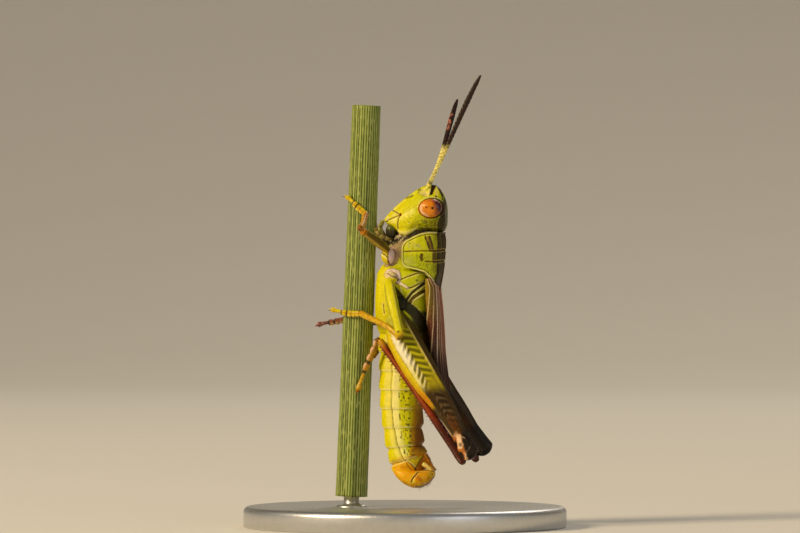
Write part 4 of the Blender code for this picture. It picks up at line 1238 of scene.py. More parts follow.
# seams and bands of the left flank, in millimetres
flank = {
    "first": [(-0.12, -1.18, 13.02), (0.03, -1.21, 13.05), (0.44, -1.15, 13.21), (0.89, -0.95, 13.37),
              (1.25, -0.70, 13.45)],
    "second": [(0.36, -1.27, 12.56), (0.60, -1.20, 12.62), (0.83, -1.08, 12.74), (1.24, -0.66, 12.98),
               (1.4, -0.5, 13.1)],
    "third": [(0.27, -1.33, 11.86), (0.31, -1.33, 11.96), (0.61, -1.22, 12.35), (0.97, -0.98, 12.66),
              (1.18, -0.78, 12.82)],
    "fourth": [(0.46, -1.27, 11.80), (0.69, -1.20, 12.11), (0.92, -1.04, 12.28), (1.18, -0.82, 12.43)],
    "fifth": [(0.58, -1.23, 11.76), (0.66, -1.22, 11.92), (0.84, -1.14, 12.03), (1.15, -0.86, 12.23)],
    "sixth": [(0.62, -1.22, 11.66), (0.73, -1.17, 11.56), (0.98, -1.01, 11.33)],
    "plate": [(0.00, -1.31, 12.62), (0.03, -1.31, 12.43), (0.12, -1.33, 12.15), (0.23, -1.33, 11.93)],
    "arm": [(-0.18, -1.24, 12.93), (0.12, -1.27, 12.74), (0.38, -1.27, 12.58)],
    "arch": [(-0.80, -1.04, 13.25), (-0.73, -1.05, 13.45), (-0.45, -1.08, 13.53), (-0.20, -1.14, 13.41),
             (-0.11, -1.20, 13.13), (-0.18, -1.24, 12.93)],
    "shadedHollow": [(-0.45, -1.27, 12.74), (-0.09, -1.33, 12.27), (0.23, -1.32, 11.72), (0.69, -1.18, 11.33),
               (1.11, -0.87, 10.77), (1.35, -0.60, 10.20)],
    "chest": [(-0.93, -1.19, 11.75), (-0.95, -1.18, 11.64), (-0.91, -1.18, 11.25)],
}


def makeTrunk():
    centres, firsts, seconds, radii = castAlong(["prothorax", "thorax"], 2, trunk["stations"],
                                                trunk["around"], ease=False)
    radii = blur(radii, 7, 8)
    # the last plate rounds in to meet the abdomen
    heights = np.array([centre.z for centre in centres])
    radii -= (trunk["hem"] * fade(heights, 10.15, 10.75) ** 2)[:, None]
    mesh = ringMesh("trunkSkin", centres, firsts, seconds, radii)

    def look(places, along, around, out):
        left = onLeft(places)
        x, y, z = places.T
        near = markers("thorax", left)[1]
        sx, sz = shareOf("thorax", places).T[::2]
        side = np.abs(y)
        height = np.zeros(len(places))
        grain = grainOf(places, 0.11, 51)
        paint = tint(flat("lime", places),
            ("lemon", fade(sx, 0.2, 0.5), 0.8),
            ("leaf", soft(grain, 0.55, 0.8) * soft(sx, 0.45, 0.6), 0.5))
        # plates of the flank, parted by dark slanting seams with cream lips
        gaps = {name: near(*points) for name, points in flank.items()}
        wobble = 0.03 * (grain - 0.5)
        shadedHollow = gaps["shadedHollow"] - np.interp(z, (10.2, 11.4, 12.3, 12.8),
                                            (0.34, 0.26, 0.15, 0.07)) + wobble
        for name, half in (("first", 0.014), ("second", 0.016), ("sixth", 0.02), ("chest", 0.015)):
            gap = gaps[name] + wobble
            height -= trunk["seam"] * fade(gap, half * 0.6, half + 0.06)
            paint = tint(paint,
                ("cream", band(gap, half + 0.05, 0.012, 0.03), 0.6),
                ("umber", fade(gap, half, half + 0.03), 0.9))
        for name, half, core in (("third", 0.060, "#2A1608"), ("fourth", 0.075, "#8A6418")):
            gap = gaps[name] + wobble
            height -= 0.8 * trunk["seam"] * fade(gap, half * 0.5, half + 0.05)
            paint = tint(paint,
                ("cream", band(gap, half + 0.045, 0.010, 0.03), 0.75),
                ("#2A1608", fade(gap, half, half + 0.03), 0.92),
                (core, fade(gap, half * 0.25, half * 0.55), 0.7))
        for name, half in (("plate", 0.022), ("fifth", 0.022)):
            gap = gaps[name] + wobble
            height += 0.03 * fade(gap, half, half + 0.06)
            paint = tint(paint, ("cream", fade(gap, half, half + 0.025), 0.85))
        speck = distance(left, drape("thorax", [(0.82, -1.05, 12.98)]))
        paint = tint(paint,
            ("olive", fade(speck, 0.04, 0.09), 0.8),
            # painted shade in the hollow that holds the jumping leg
            ("#231A0C", fade(shadedHollow, -0.03, 0.03), 0.95),
            ("#27301C", fade(shadedHollow, -0.08, -0.02) * fade(np.abs(z - 11.5), 0.3, 0.45), 0.7))
        height -= 0.05 * fade(shadedHollow, -0.05, 0.06)
        shade = soft(sx + 0.9 * (0.30 - sz), 0.70, 0.86) * fade(sz, 0.28, 0.36)
        paint = tint(paint, ("#2B2412", shade, 0.93))
        # soft grey-lilac skin in an arch over the middle leg and an arm behind it
        folds = np.sin(gaps["arch"] * 70 + 5 * cloud(places, 0.2, 53)) * 0.5 + 0.5
        taper = np.interp(x, (-0.2, 0.42), (0.085, 0.045))
        for name, half, colour, wrinkled in (("arm", taper, "#E6D6B8", 0.0),
                                             ("arch", 0.10, "#D9C3BE", 0.4)):
            skin = fade(gaps[name] + 2 * wobble, half, half + 0.03)
            height += skin * 0.035
            paint = tint(paint,
                (colour, skin, 0.92),
                ("umber", band(gaps[name] + 2 * wobble - half, 0.02, 0.004, 0.025), 0.6),
                ("umber", skin * soft(folds, 0.86, 1.0), wrinkled))
        knot = distance(left, drape("thorax", [(-0.16, -1.22, 12.99)]))
        paint = tint(paint, ("umber", fade(knot, 0.05, 0.09), 0.9))
        low, high = box("fore_coxa_left")
        root = distance(left, [(low + high) / 2])
        skin = fade(root + 4 * wobble, 0.50, 0.66)
        height -= skin * 0.02
        paint = tint(paint,
            ("#CDB0A6", skin, 0.8),
            ("umber", band(root + 2 * wobble, 0.56, 0.008, 0.03), 0.5))
        # the throat: pale skin between the head, the saddle and the fore legs
        throat = soft(z, 14.0, 14.4) * soft(side, 0.3, 0.5)
        paint = tint(paint, ("#C9A98E", throat * soft(x, -0.75, -0.45), 0.75))
        height += throat * 0.03 * (cloud(places, 0.12, 54) - 0.5)
        # painted shade right under the head
        paint = tint(paint, ("#120904", soft(z - 0.35 * x + 0.25 * (grain - 0.5), 14.90, 15.10), 0.96))
        # raised beads with pale tops; the pale is a painted highlight
        highlightBeads = soft(cloud(places, 0.11, 56), 0.56, 0.66) * soft(z, 14.55, 14.75) * fade(x, 0.05, 0.3)
        paint = tint(paint, ("#D9C79A", highlightBeads, 0.6))
        height += 0.035 * highlightBeads + 0.012 * (grain - 0.5)
        paint = tint(paint, ("olive", soft(cloud(places, 0.05, 55), 0.78, 0.9), 0.4))
        return height, paint
    addPiece("trunkSkin", mesh, look, limeChitin, "lime_cuticle", "prothorax", "thorax")


# abdomen

abdomen = {"rowsEach": 44, "around": 230, "lip": 0.036, "bulge": 0.022, "foldDepth": 0.05}


def makeAbdomen():
    nodes = [f"abdomen_{i}" for i in range(1, 9)]
    tree = solidTree(*nodes)
    full = solidTree(*nodes, "subgenital_plate", "epiproct")
    joints = [(box(nodes[0])[1][2] - 0.02, 0.0)]
    for upper, lower in zip(nodes, nodes[1:]):
        (lowA, highA), highB = box(upper), box(lower)[1]
        tilt = (highB[2] - lowA[2]) / (highA[0] - lowA[0])
        joints.append(((lowA[2] + highB[2]) / 2, max(tilt, 0.0)))
    joints.append((box(nodes[-1])[0][2] - 0.25, 0.20))
    places, tilts, parts, numbers = [], [], [], []
    for i, ((z0, tilt0), (z1, tilt1)) in enumerate(zip(joints, joints[1:])):
        steps = abdomen["rowsEach"] if i < 7 else 24
        for step in range(steps):
            share = 0.035 + 0.93 * step / (steps - 1)
            places.append(z0 + (z1 - z0) * share)
            tilts.append(tilt0 + (tilt1 - tilt0) * share)
            parts.append(share)
            numbers.append(i)
    centres, firsts, radii = [], [], []
    for z, tilt, number in zip(places, tilts, numbers):
        first = Vector((1, 0, tilt))
        start = Vector((0.05, 0, z))
        solids = full if number == 7 else tree
        back = solids.ray_cast(start + first * 5, -first, 10)[0]
        belly = solids.ray_cast(start - first * 5, first, 10)[0]
        centre = (back + belly) / 2 if back and belly else start
        centres.append(centre)
        firsts.append(first)
    middle = blur(np.array(centres), 30, 0)
    for i, (centre, first) in enumerate(zip(middle, firsts)):
        solids = full if numbers[i] == 7 else tree
        radii.append(castRing(solids, Vector(centre), first, Vector((0, 1, 0)), abdomen["around"]))
    radii = np.array(radii)
    met = np.flatnonzero(~np.isnan(radii[:, 0]))
    for column in radii.T:
        column[:] = np.interp(np.arange(len(column)), met, column[met])
    radii = blur(radii, 26, 6)
    parts, numbers = np.array(parts), np.array(numbers)
    lip = abdomen["lip"] * (soft(parts, 0.0, 0.9) - 0.55) + abdomen["bulge"] * np.sin(pi * parts)
    lip[numbers == 7] = np.interp(parts[numbers == 7], (0, 0.3, 1), (-0.005, -0.02, -0.09))
    lip[numbers == 0] += 0.03
    radii += lip[:, None]
    # a collar that reaches up inside the trunk
    collar = 5
    middle = np.concatenate((middle[:1] + [(0, 0, 0.06 * (collar - i)) for i in range(collar)], middle))
    firsts = [firsts[0]] * collar + firsts
    radii = np.concatenate(([radii[0] - 0.03] * collar, radii))
    parts, numbers = np.concatenate(([0.0] * collar, parts)), np.concatenate(([0] * collar, numbers))
    mesh = ringMesh("abdomenSkin", middle, firsts, [Vector((0, 1, 0))] * len(middle), radii)
    rowPart = np.concatenate(([0] * 4, parts, [1] * 4))
    rowNumber = np.concatenate(([0] * 4, numbers, [7] * 4))

    def look(places, along, around, out):
        row = np.clip(np.rint(along * (len(rowPart) - 1)).astype(int), 0, len(rowPart) - 1)
        part, number = rowPart[row], rowNumber[row]
        angle = around * tau
        lift = np.cos(angle)                     # 1 on the back, -1 on the belly
        height = np.zeros(len(places))
        grain = grainOf(places, 0.12, 61)
        foldAt = np.interp(along, (0, 0.55, 0.8, 1.0), (-0.42, -0.40, -0.25, -0.05))
        fold = lift - foldAt
        paint = tint(flat("lemon", places),
            ("lime", soft(grain, 0.42, 0.75), 0.6),
            ("leaf", soft(lift, 0.0, 0.5) * soft(grain, 0.5, 0.75), 0.45),
            # painted highlight: pale flank above the fold and a cream band below it
            ("#F0E6A4", band(fold, 0.20, 0.12, 0.22), 0.75),
            ("#D9DC4C", band(lift, 0.25, 0.25, 0.15), 0.35),
            ("cream", band(fold, -0.20, 0.08, 0.12), 0.45))
        # tan to dark brown back, spreading down the sides towards the tip
        edge = np.interp(along, (0, 0.35, 0.6, 0.8, 1.0), (0.86, 0.80, 0.66, 0.40, 0.10))
        edge = edge + 0.22 * (grain - 0.5)
        # the darkest brown on the back near the waist is painted shade under the wing covers and behind
        # the thigh
        paint = tint(paint,
            ("#A8681A", soft(lift - edge, -0.12, 0.10), 0.75),
            ("#7A4514", soft(lift - edge, 0.10, 0.34) * fade(along, 0.80, 0.92), 0.85),
            ("#33200F", soft(lift, 0.35, 0.6) * fade(along, 0.25, 0.42), 0.9),
            ("orange", soft(along, 0.86, 0.93), 0.55))
        # cream hem and dark joint line of each ring
        paint = tint(paint,
            ("cream", band(part, 0.93, 0.025, 0.04) * fade(lift, 0.55, 0.8), 0.7),
            ("umber", soft(part, 0.975, 0.995) * (number < 7), 0.55),
            ("umber", fade(part, 0.01, 0.05) * soft(lift, 0.15, 0.4) * (number > 0), 0.7))
        # the fold between back plates and belly plates, with painted shade along its crease
        height -= abdomen["foldDepth"] * band(fold, 0, 0.012, 0.06)
        paint = tint(paint, ("olive", band(fold, 0, 0.008, 0.02) * soft(along, 0.35, 0.6), 0.8))
        # short dark dashes on each back plate
        perRing = np.column_stack((number * 1.0, number * 2.0, number * 3.0))
        wobble = 0.10 * (cloud(perRing, 0.7, 63) - 0.5)
        dashes = ((0.02, 0.38, 0.014, 0.15), (0.27, 0.34, 0.020, 0.09), (0.50, 0.44, 0.035, 0.025),
                  (0.42, 0.76, 0.07, 0.018), (0.36, 0.08, 0.07, 0.018), (0.14, 0.58, 0.010, 0.03),
                  (0.17, 0.20, 0.010, 0.02), (0.58, 0.22, 0.02, 0.03), (0.36, 0.55, 0.010, 0.05))
        wander, drift = (0.10 * (cloud(places, 0.12, seed) - 0.5) for seed in (64, 65))
        for liftAt, partAt, halfWide, halfLong in dashes:
            mark = (band(lift - liftAt - wobble + wander, 0, halfWide, 0.03)
                    * band(part - partAt - wobble + 2 * drift, 0, halfLong, 0.05))
            paint = tint(paint, ("#1E1A08", mark * (number < 7) * soft(grain + 0.3, 0.5, 0.8), 0.85))
            height -= 0.01 * mark
        # last rings: belly plate, scoop root, yellow eighth plate with a cream front, brown ninth
        x, z = places.T[::2]
        below = z - 3.55 - 0.33 * x
        eighth = x - np.interp(z, (3.13, 3.34, 3.56), (0.64, 0.47, 0.17))
        ninth = x - np.interp(z, (3.13, 3.47, 3.92), (0.67, 0.86, 1.10))
        last = (number == 7)
        paint = tint(paint,
            ("#E0A318", last * fade(below, -0.19, -0.16), 0.95),
            ("cream", last * band(below, -0.14, 0.02, 0.02) * (eighth < 0), 0.8),
            ("#D8C02A", last * soft(eighth, 0.0, 0.03), 0.95),
            ("cream", last * band(eighth, 0.06, 0.035, 0.03), 0.85),
            ("umber", last * band(eighth, -0.015, 0.01, 0.03), 0.85),
            ("#A8641C", last * soft(ninth, 0.0, 0.04), 0.92),
            ("umber", last * band(ninth, 0.0, 0.012, 0.03), 0.85))
        height -= last * 0.035 * (band(eighth, -0.01, 0.01, 0.04) + band(ninth, 0.0, 0.012, 0.04))
        height += 0.010 * (grain - 0.5)
        return height, paint
    addPiece("abdomenSkin", mesh, look, bellyChitin, "yellow_cuticle", *nodes)


# radii in millimetres at shares of the length
tip = {"lipLift": 0.11, "flap": {"stops": (0, 0.5, 1), "radii": (0.40, 0.32, 0.13), "depth": 0.075},
       "peg": {"stops": (0, 0.3, 0.8, 1), "radii": (0.10, 0.125, 0.09, 0.04)}}


def makeTip():
    # the scoop below, the flap above and the two short cerci
    centres, firsts, seconds, radii = castAlong(["subgenital_plate"], 0, 170, 180)
    radii = blur(radii, 26, 22)
    # its lip stands up against the flap and the pegs
    lift = np.clip(np.cos(np.arange(radii.shape[1]) / radii.shape[1] * tau), 0, 1) ** 2
    radii += tip["lipLift"] * soft(np.linspace(0, 1, len(radii)), 0.45, 0.75)[:, None] * lift
    mesh = ringMesh("tailScoop", centres, firsts, seconds, radii)

    def lookScoop(places, along, around, out):
        left = onLeft(places)
        share = shareOf("subgenital_plate", places)
        near = lambda *points: distance(left, drape("subgenital_plate", points))
        grain = cloud(places, 0.14, 71)
        paint = tint(flat("#E2A416", places),
            ("lemon", soft(grain, 0.5, 0.8), 0.4),
            ("amber", soft(share[:, 0], 0.25, 0.55) * soft(share[:, 2], 0.55, 0.9), 0.5))
        cone = near((0.48, -0.81, 2.38), (0.53, -0.82, 2.52), (0.62, -0.80, 2.66), (0.83, -0.60, 2.90),
                    (1.10, -0.45, 2.95), (1.35, -0.40, 2.90), (1.57, -0.30, 2.78))
        lobe = near((0.85, -0.6, 2.55), (1.2, -0.5, 2.60))
        paint = tint(paint,
            ("#B8661C", fade(lobe, 0.10, 0.34) * soft(cloud(places, 0.2, 72), 0.3, 0.6), 0.85),
            ("#E8CE5A", fade(near((0.60, -0.8, 2.45), (0.62, -0.8, 2.38)), 0.04, 0.12), 0.8),
            ("#4A200C", fade(cone, 0.015, 0.045), 0.9),
            ("cream", band(cone, 0.07, 0.015, 0.03), 0.45))
        rim = near((0.80, -0.5, 2.08), (0.90, -0.41, 2.13), (1.29, -0.24, 2.30), (1.60, -0.10, 2.55))
        paint = tint(paint, ("#3A1218", fade(rim + 0.08 * (grain - 0.5), 0.09, 0.20), 0.9))
        return -0.05 * fade(cone, 0.015, 0.06) + 0.012 * (grain - 0.5), paint
    addPiece("tailScoop", mesh, lookScoop, bellyChitin, "yellow_cuticle", "subgenital_plate")

    def lookFlap(places, along, around, out):
        grain = cloud(places, 0.1, 73)
        paint = tint(flat("orange", places),
            ("umber", soft(grain, 0.5, 0.75), 0.5),
            ("umber", fade(np.abs(places[:, 1]), 0.02, 0.06), 0.8))
        return 0.012 * (grain - 0.5) - 0.02 * fade(np.abs(places[:, 1]), 0.01, 0.08), paint
    line = spineOf("epiproct", "abdomen_7")
    share = np.linspace(0.03, 0.97, 50)
    wide = np.interp(share, tip["flap"]["stops"], tip["flap"]["radii"])
    mesh = tubeMesh("tailFlap", line(share), np.full(50, tip["flap"]["depth"]), wide, (1, 0, 0.3), 40)
    addPiece("tailFlap", mesh, lookFlap, bellyChitin, "yellow_cuticle", "epiproct")

    def lookCercus(places, along, around, out):
        grain = cloud(places, 0.07, 74)
        paint = tint(flat("straw", places),
            ("amber", soft(grain, 0.5, 0.8), 0.6),
            ("umber", soft(along, 0.8, 0.95), 0.6))
        return 0.006 * (grain - 0.5), paint
    for side in sides:
        line = spineOf("cercus_" + side, "abdomen_7", 2)
        share = np.linspace(0.22, 0.97, 50)
        radius = np.interp(share, tip["peg"]["stops"], tip["peg"]["radii"])
        mesh = tubeMesh("cercus_" + side, line(share), radius, radius * 0.8, (1, 0, 0.3), 28)
        addPiece("tailPeg_" + side, mesh, lookCercus, bellyChitin, "yellow_cuticle", "cercus_" + side)


# wing covers

# veins: place across at the root and at the tip, weight and colour
wing = {"rows": 300, "columns": 130, "wall": 0.07, "vein": 0.034, "netVein": 0.008, "cell": 0.13,
        "lanes": 11.0, "veins": ((0.10, 0.30, 1.0, "#B07C68"), (0.22, 0.50, 0.8, "#CDA08A"),
                  (0.34, 0.64, 1.1, "#E0BBA4"), (0.46, 0.78, 0.8, "#D9B391"),
                  (0.58, 0.94, 1.6, "#F0E2C8"), (0.72, 1.10, 1.0, "#D6BC98"),
                  (0.85, 1.30, 0.9, "#D2C08C"))}


def makeWing(side, sign):
    node = "tegmen_" + side
    low, high = box(node)
    axisAt = lambda z: np.interp(z, (low[2], high[2]), (low[0] + 0.45, low[0] - 0.25))
    grid = sheetGrid(node, lambda z: float(axisAt(z)), sign, wing["rows"], wing["columns"], 95)
    # the root corner dips under the saddle
    down, across = np.meshgrid(np.linspace(0, 1, grid.shape[0]), np.linspace(0, 1, grid.shape[1]),
                               indexing="ij")
    dip = 0.22 * fade(down, 0.0, 0.09) * soft(across, 0.25, 0.6) + 0.10 * soft(across, 0.93, 1.0)
    grid[:, :, 1] -= sign * dip
    mesh = openSheet("wing_" + side, grid, axisAt)

    def look(places, along, around, out):
        height = np.zeros(len(places))
        grain = cloud(places, 0.09, 81)
        paint = tint(flat("#54281A", places),
            ("#24110E", soft(along + 0.15 * (grain - 0.5), 0.38, 0.66), 0.9),
            ("#7A4634", soft(grain, 0.5, 0.8) * fade(along, 0.3, 0.6), 0.5),
            ("#8A7A34", soft(around, 0.62, 0.70) * fade(along, 0.20, 0.45), 0.6))
        # olive leading edge near the root
        green = soft(around, 0.80, 0.86) * fade(along, 0.16, 0.30)
        paint = tint(paint, ("#8C7A24", green, 0.7))
        # long veins fan out from the root
        wander = 0.010 * (cloud(places * (1, 1, 0.5), 0.4, 83) - 0.5)
        for root, end, weight, colour in wing["veins"]:
            line = root + (end - root) * along ** 1.3 + wander
            gap = np.abs(around - line) * 1.9
            height += wing["vein"] * weight * fade(gap, 0.010, 0.045)
            shown = 1 - soft(along, 0.55, 0.80) * (0.75 if weight < 1.4 else 0.9)
            vein = fade(gap, 0.010 + 0.004 * weight, 0.03 + 0.006 * weight)
            paint = tint(paint, (colour, vein * shown, 0.9))
        # cross veins: a fine irregular net
        cell, lanes = wing["cell"], wing["lanes"]
        bend = cloud(places, 0.16, 82) - 0.5
        lane = (around - 0.2 * along + 0.02 * bend) * lanes
        phase = places[:, 2] / cell + 0.37 * np.floor(lane) + bend * 1.3
        rung = np.abs(phase - np.rint(phase)) * cell
        rail = np.abs(lane - np.rint(lane)) / lanes * 1.9
        net = np.maximum(fade(rung, 0.008, 0.026), fade(rail, 0.004, 0.018))
        show = fade(along, 0.50, 0.85)
        height += wing["netVein"] * net
        paint = tint(paint,
            ("#A97866", net * show * (0.4 + 0.6 * soft(grain, 0.35, 0.6)), 0.38),
            # worn pale edge along the back and the outer margin
            ("#B98A78", band(around, 0.03, 0.02, 0.02) * show, 0.6))
        height += 0.02 * fade(np.minimum(around, 1 - around), 0.01, 0.03)
        return height, paint
    thicken(addPiece("wingCover_" + side, mesh, look, wingLeather, "wing_membrane", node), wing["wall"])


# legs

# radii in millimetres at shares of the length, from the body outwards
legs = {"hipMesh": (48, 32),
        "thigh": {"stops": (0, 0.15, 0.45, 0.8, 0.93, 1.0),
                  "radii": (0.17, 0.22, 0.24, 0.19, 0.20, 0.13)},
        "shin": {"stops": (0, 0.05, 0.14, 0.3, 0.85, 0.97, 1.0),
                 "radii": (0.12, 0.19, 0.185, 0.165, 0.165, 0.18, 0.14)},
        "spikes": 6, "spike": {"length": 0.16, "radius": 0.025, "rings": 5, "around": 6}}


def makeCoxa(pair, side):
    node = f"{pair}_coxa_{side}"
    mesh = ballMesh(node, node, *legs["hipMesh"])

    def look(places, along, around, out):
        grain = cloud(places, 0.12, 91)
        # the hind hip is painted near black: painted shade in the hollow it sits in
        base = {"fore": "#CFB49C", "mid": "#C9AE8E", "hind": "#171A0C"}[pair]
        light = 0.0 if pair == "hind" else 1.0
        paint = tint(flat(base, places),
            ("cream", soft(grain, 0.5, 0.75), 0.6 * light),
            ("lemon", soft(cloud(places, 0.25, 92), 0.50, 0.62), 0.8 * light))
        sx, sz = shareOf(f"{pair}_coxa_left", places).T[::2]
        line = sz + 0.55 * sx + 0.10 * (grain - 0.5)
        cracks = np.zeros(len(places))
        if pair == "mid":
            paint = tint(paint, ("lemon", fade(sz, 0.45, 0.6), 0.9))
            cracks = band(line, 1.02, 0.02, 0.04)
        if pair == "fore":
            # yellow plates in front, parted by slanting cracks, and soft lilac skin behind
            paint = tint(paint,
                ("#D6C437", fade(sx, 0.50, 0.60), 0.85),
                ("cream", band(line, 0.60, 0.03, 0.05) + band(line, 1.05, 0.04, 0.05), 0.8),
                ("#D9BFBC", soft(sx, 0.52, 0.62), 0.85))
            cracks = (band(line, 0.70, 0.02, 0.04) + band(line, 0.98, 0.02, 0.04)) * fade(sx, 0.50, 0.60)
            cracks = np.maximum(cracks, band(sx + 0.1 * (grain - 0.5), 0.56, 0.015, 0.04))
        paint = tint(paint, ("#3A1E0C", cracks, 0.85))
        return 0.02 * (grain - 0.5) - 0.03 * cracks, paint
    addPiece(f"{pair}Hip_{side}", mesh, look, bellyChitin, "lime_cuticle", node)


def hook(root, way, bend, length, radius, rings=7, around=8):
    # a small curved tapering thorn
    shape = bmesh.new()
    way, bend = Vector(way).normalized(), Vector(bend).normalized()
    turn = way.to_track_quat("Z", "Y").to_matrix().to_4x4()
    bmesh.ops.create_circle(shape, cap_ends=True, segments=around, radius=radius,
                            matrix=Matrix.Translation(root) @ turn)
    face = shape.faces[:][0]
    last = Vector(root)
    for i in range(1, rings):
        share = i / (rings - 1)
        target = Vector(root) + way * length * share + bend * length * 0.45 * share ** 2
        base = face
        ret = bmesh.ops.extrude_face_region(shape, geom=[base])
        verts = [v for v in ret["geom"] if isinstance(v, bmesh.types.BMVert)]
        face = [f for f in ret["geom"] if isinstance(f, bmesh.types.BMFace)][0]
        before = 1 - (i - 1) / (rings - 1)
        shrink = (1 - share) ** 0.8 / max(before ** 0.8, 1e-6) if i < rings - 1 else 0.15
        bmesh.ops.translate(shape, verts=verts, vec=target - last)
        middle = sum((v.co for v in verts), Vector()) / len(verts)
        for v in verts:
            v.co = middle + (v.co - middle) * shrink
        bmesh.ops.delete(shape, geom=[base], context="FACES_ONLY")
        last = target
    bmesh.ops.recalc_face_normals(shape, faces=shape.faces[:])
    return shape


def joinShapes(name, shapes, colours):
    # many small shapes in one mesh; colours gives each its root and tip colour
    mesh = bpy.data.meshes.new(name)
    total = bmesh.new()
    paint = total.verts.layers.float_color.new("paint")
    for shape, (root, tip) in zip(shapes, colours):
        part = bpy.data.meshes.new("part")
        shape.to_mesh(part)
        shape.free()
        before = len(total.verts)
        total.from_mesh(part)
        bpy.data.meshes.remove(part)
        total.verts.ensure_lookup_table()
        fresh = total.verts[before:]
        for i, vert in enumerate(fresh):
            share = soft(np.array([i / len(fresh)]), 0.35, 0.8)[0]
            rgb = np.array(linear(root)) * (1 - share) + np.array(linear(tip)) * share
            vert[paint] = (*rgb, 1)
    total.to_mesh(mesh)
    total.free()
    return mesh


def limbPiece(name, node, toward, size, up, look, material, slot, count=120, around=28,
              ends=(0.01, 0.985)):
    line = spineOf(node, toward)
    share = np.linspace(*ends, count)
    deep, wide = size(share)
    mesh = tubeMesh(name, line(share), deep, wide, up, around)
    addPiece(name, mesh, look, material, slot, node)
    return line


def makeSmallLeg(pair, side, sign):
    femur, shin, foot = (f"{pair}_{part}_{side}" for part in ("femur", "tibia", "tarsus"))
    # the far middle leg is painted as a darker purple-brown copy of the others: painted shade
    far = pair == "mid" and side == "right"
    fore = pair == "fore"
    up = (0.3, sign, 0.2) if pair == "mid" else (0.2, 0, 1)

    def thighSize(share):
        radius = np.interp(share, legs["thigh"]["stops"], legs["thigh"]["radii"])
        return radius, radius * (1.22 if pair == "mid" else 1.0)

    def lookThigh(places, along, around, out):
        grain = cloud(places, 0.10, 101 + len(pair))
        turn = np.cos(around * tau)
        if fore:
            paint = tint(flat("#5A4716", places),
                ("ochre", soft(-turn, 0.3, 0.8), 0.8),
                ("lime", soft(turn, 0.3, 0.8) * soft(grain, 0.4, 0.6), 0.4),
                ("orange", soft(along, 0.80, 0.92), 0.8))
        else:
            paint = tint(flat("lime", places),
                ("lemon", soft(turn, -0.2, 0.6), 0.7),
                ("ochre", band(turn, -0.55, 0.1, 0.25), 0.6),
                ("ochre", soft(along, 0.86, 0.95), 0.7))
        paint = tint(paint,
            ("umber", soft(along, 0.93, 0.97), 0.5),
            ("umber", band(along, 0.90, 0.006, 0.012) * soft(grain, 0.4, 0.6), 0.8))
        between = soft(along, 0.06, 0.2)
        ridge = np.abs(np.cos((around + 0.06) * tau * 1.5)) ** 8 * between * fade(along, 0.82, 0.92)
        paint = tint(paint,
            ("cream", ridge, 0.35),
            ("olive", np.abs(np.cos((around + 0.11) * tau * 1.5)) ** 10 * between
             * fade(along, 0.82, 0.92), 0.55))
        return 0.03 * ridge + 0.012 * (grain - 0.5), paint
    limbPiece(f"{pair}Thigh_{side}", femur, f"{pair}_coxa_{side}", thighSize, up, lookThigh, limeChitin,
              "lime_cuticle")

    def shinSize(share):
        radius = np.interp(share, legs["shin"]["stops"], legs["shin"]["radii"])
        return radius, radius * 0.92

    def lookShin(places, along, around, out):
        grain = cloud(places, 0.09, 105)
        # the far shin's purple-brown is painted shade
        base = "#6A4A40" if far else ("#B4701C" if fore else "#C08E22")
        paint = tint(flat(base, places),
            ("#8E6E60" if far else "#DCC440", soft(grain, 0.40, 0.65), 0.3 if fore else 0.55),
            ("#7A4A18", band(np.cos(around * tau), -0.75, 0.1, 0.2), 0.55),
            ("umber", fade(along, 0.03, 0.08), 0.6),
            ("umber", soft(along, 0.95, 0.975), 0.7))
        return 0.008 * (grain - 0.5) + 0.01 * np.abs(np.cos(around * tau * 1.5)) ** 6, paint
    line = limbPiece(f"{pair}Shin_{side}", shin, femur, shinSize, up, lookShin, tannedChitin,
                     "yellow_cuticle")
    spikes = []
    for i in range(legs["spikes"]):
        share = 0.45 + 0.09 * i
        point, ahead = line(share)[0], line(share + 0.05)[0]
        way = Vector(ahead - point).normalized()
        down = way.cross(Vector((0, 0, 1))).normalized() * (1 if i % 2 else -1)
        low = (Vector((0, 0, -1)) * 0.8 + down * 0.5 + way * 0.5).normalized()
        spikes.append(hook(Vector(point) + low * 0.09, low, way, **legs["spike"]))
    mesh = joinShapes(f"{pair}ShinSpikes_{side}", spikes, [("#C39A4A", "#23140C")] * len(spikes))
    addPiece(f"{pair}ShinSpikes_{side}", mesh, None, clawHorn, "dark_cuticle")
    makeFoot(pair, side, foot, shin, far)


# rest is how near a foot comes to the stem; radii at shares of the length, in millimetres
feet = {"rest": {"fore": 0.01, "mid": 0.01, "hind": 0.05}, "reach": 0.2, "end": 0.93,
        "stops": (0, 0.06, 0.28, 0.42, 0.445, 0.47, 0.56, 0.60, 0.625, 0.65, 0.80, 0.92, 1.0),
        "radii": (0.10, 0.13, 0.14, 0.15, 0.09, 0.12, 0.145, 0.14, 0.08, 0.085, 0.10, 0.15, 0.12),
        "claw": {"length": 0.26, "radius": 0.045, "rings": 8, "around": 10}, "pad": (0.10, 0.06, 0.12)}


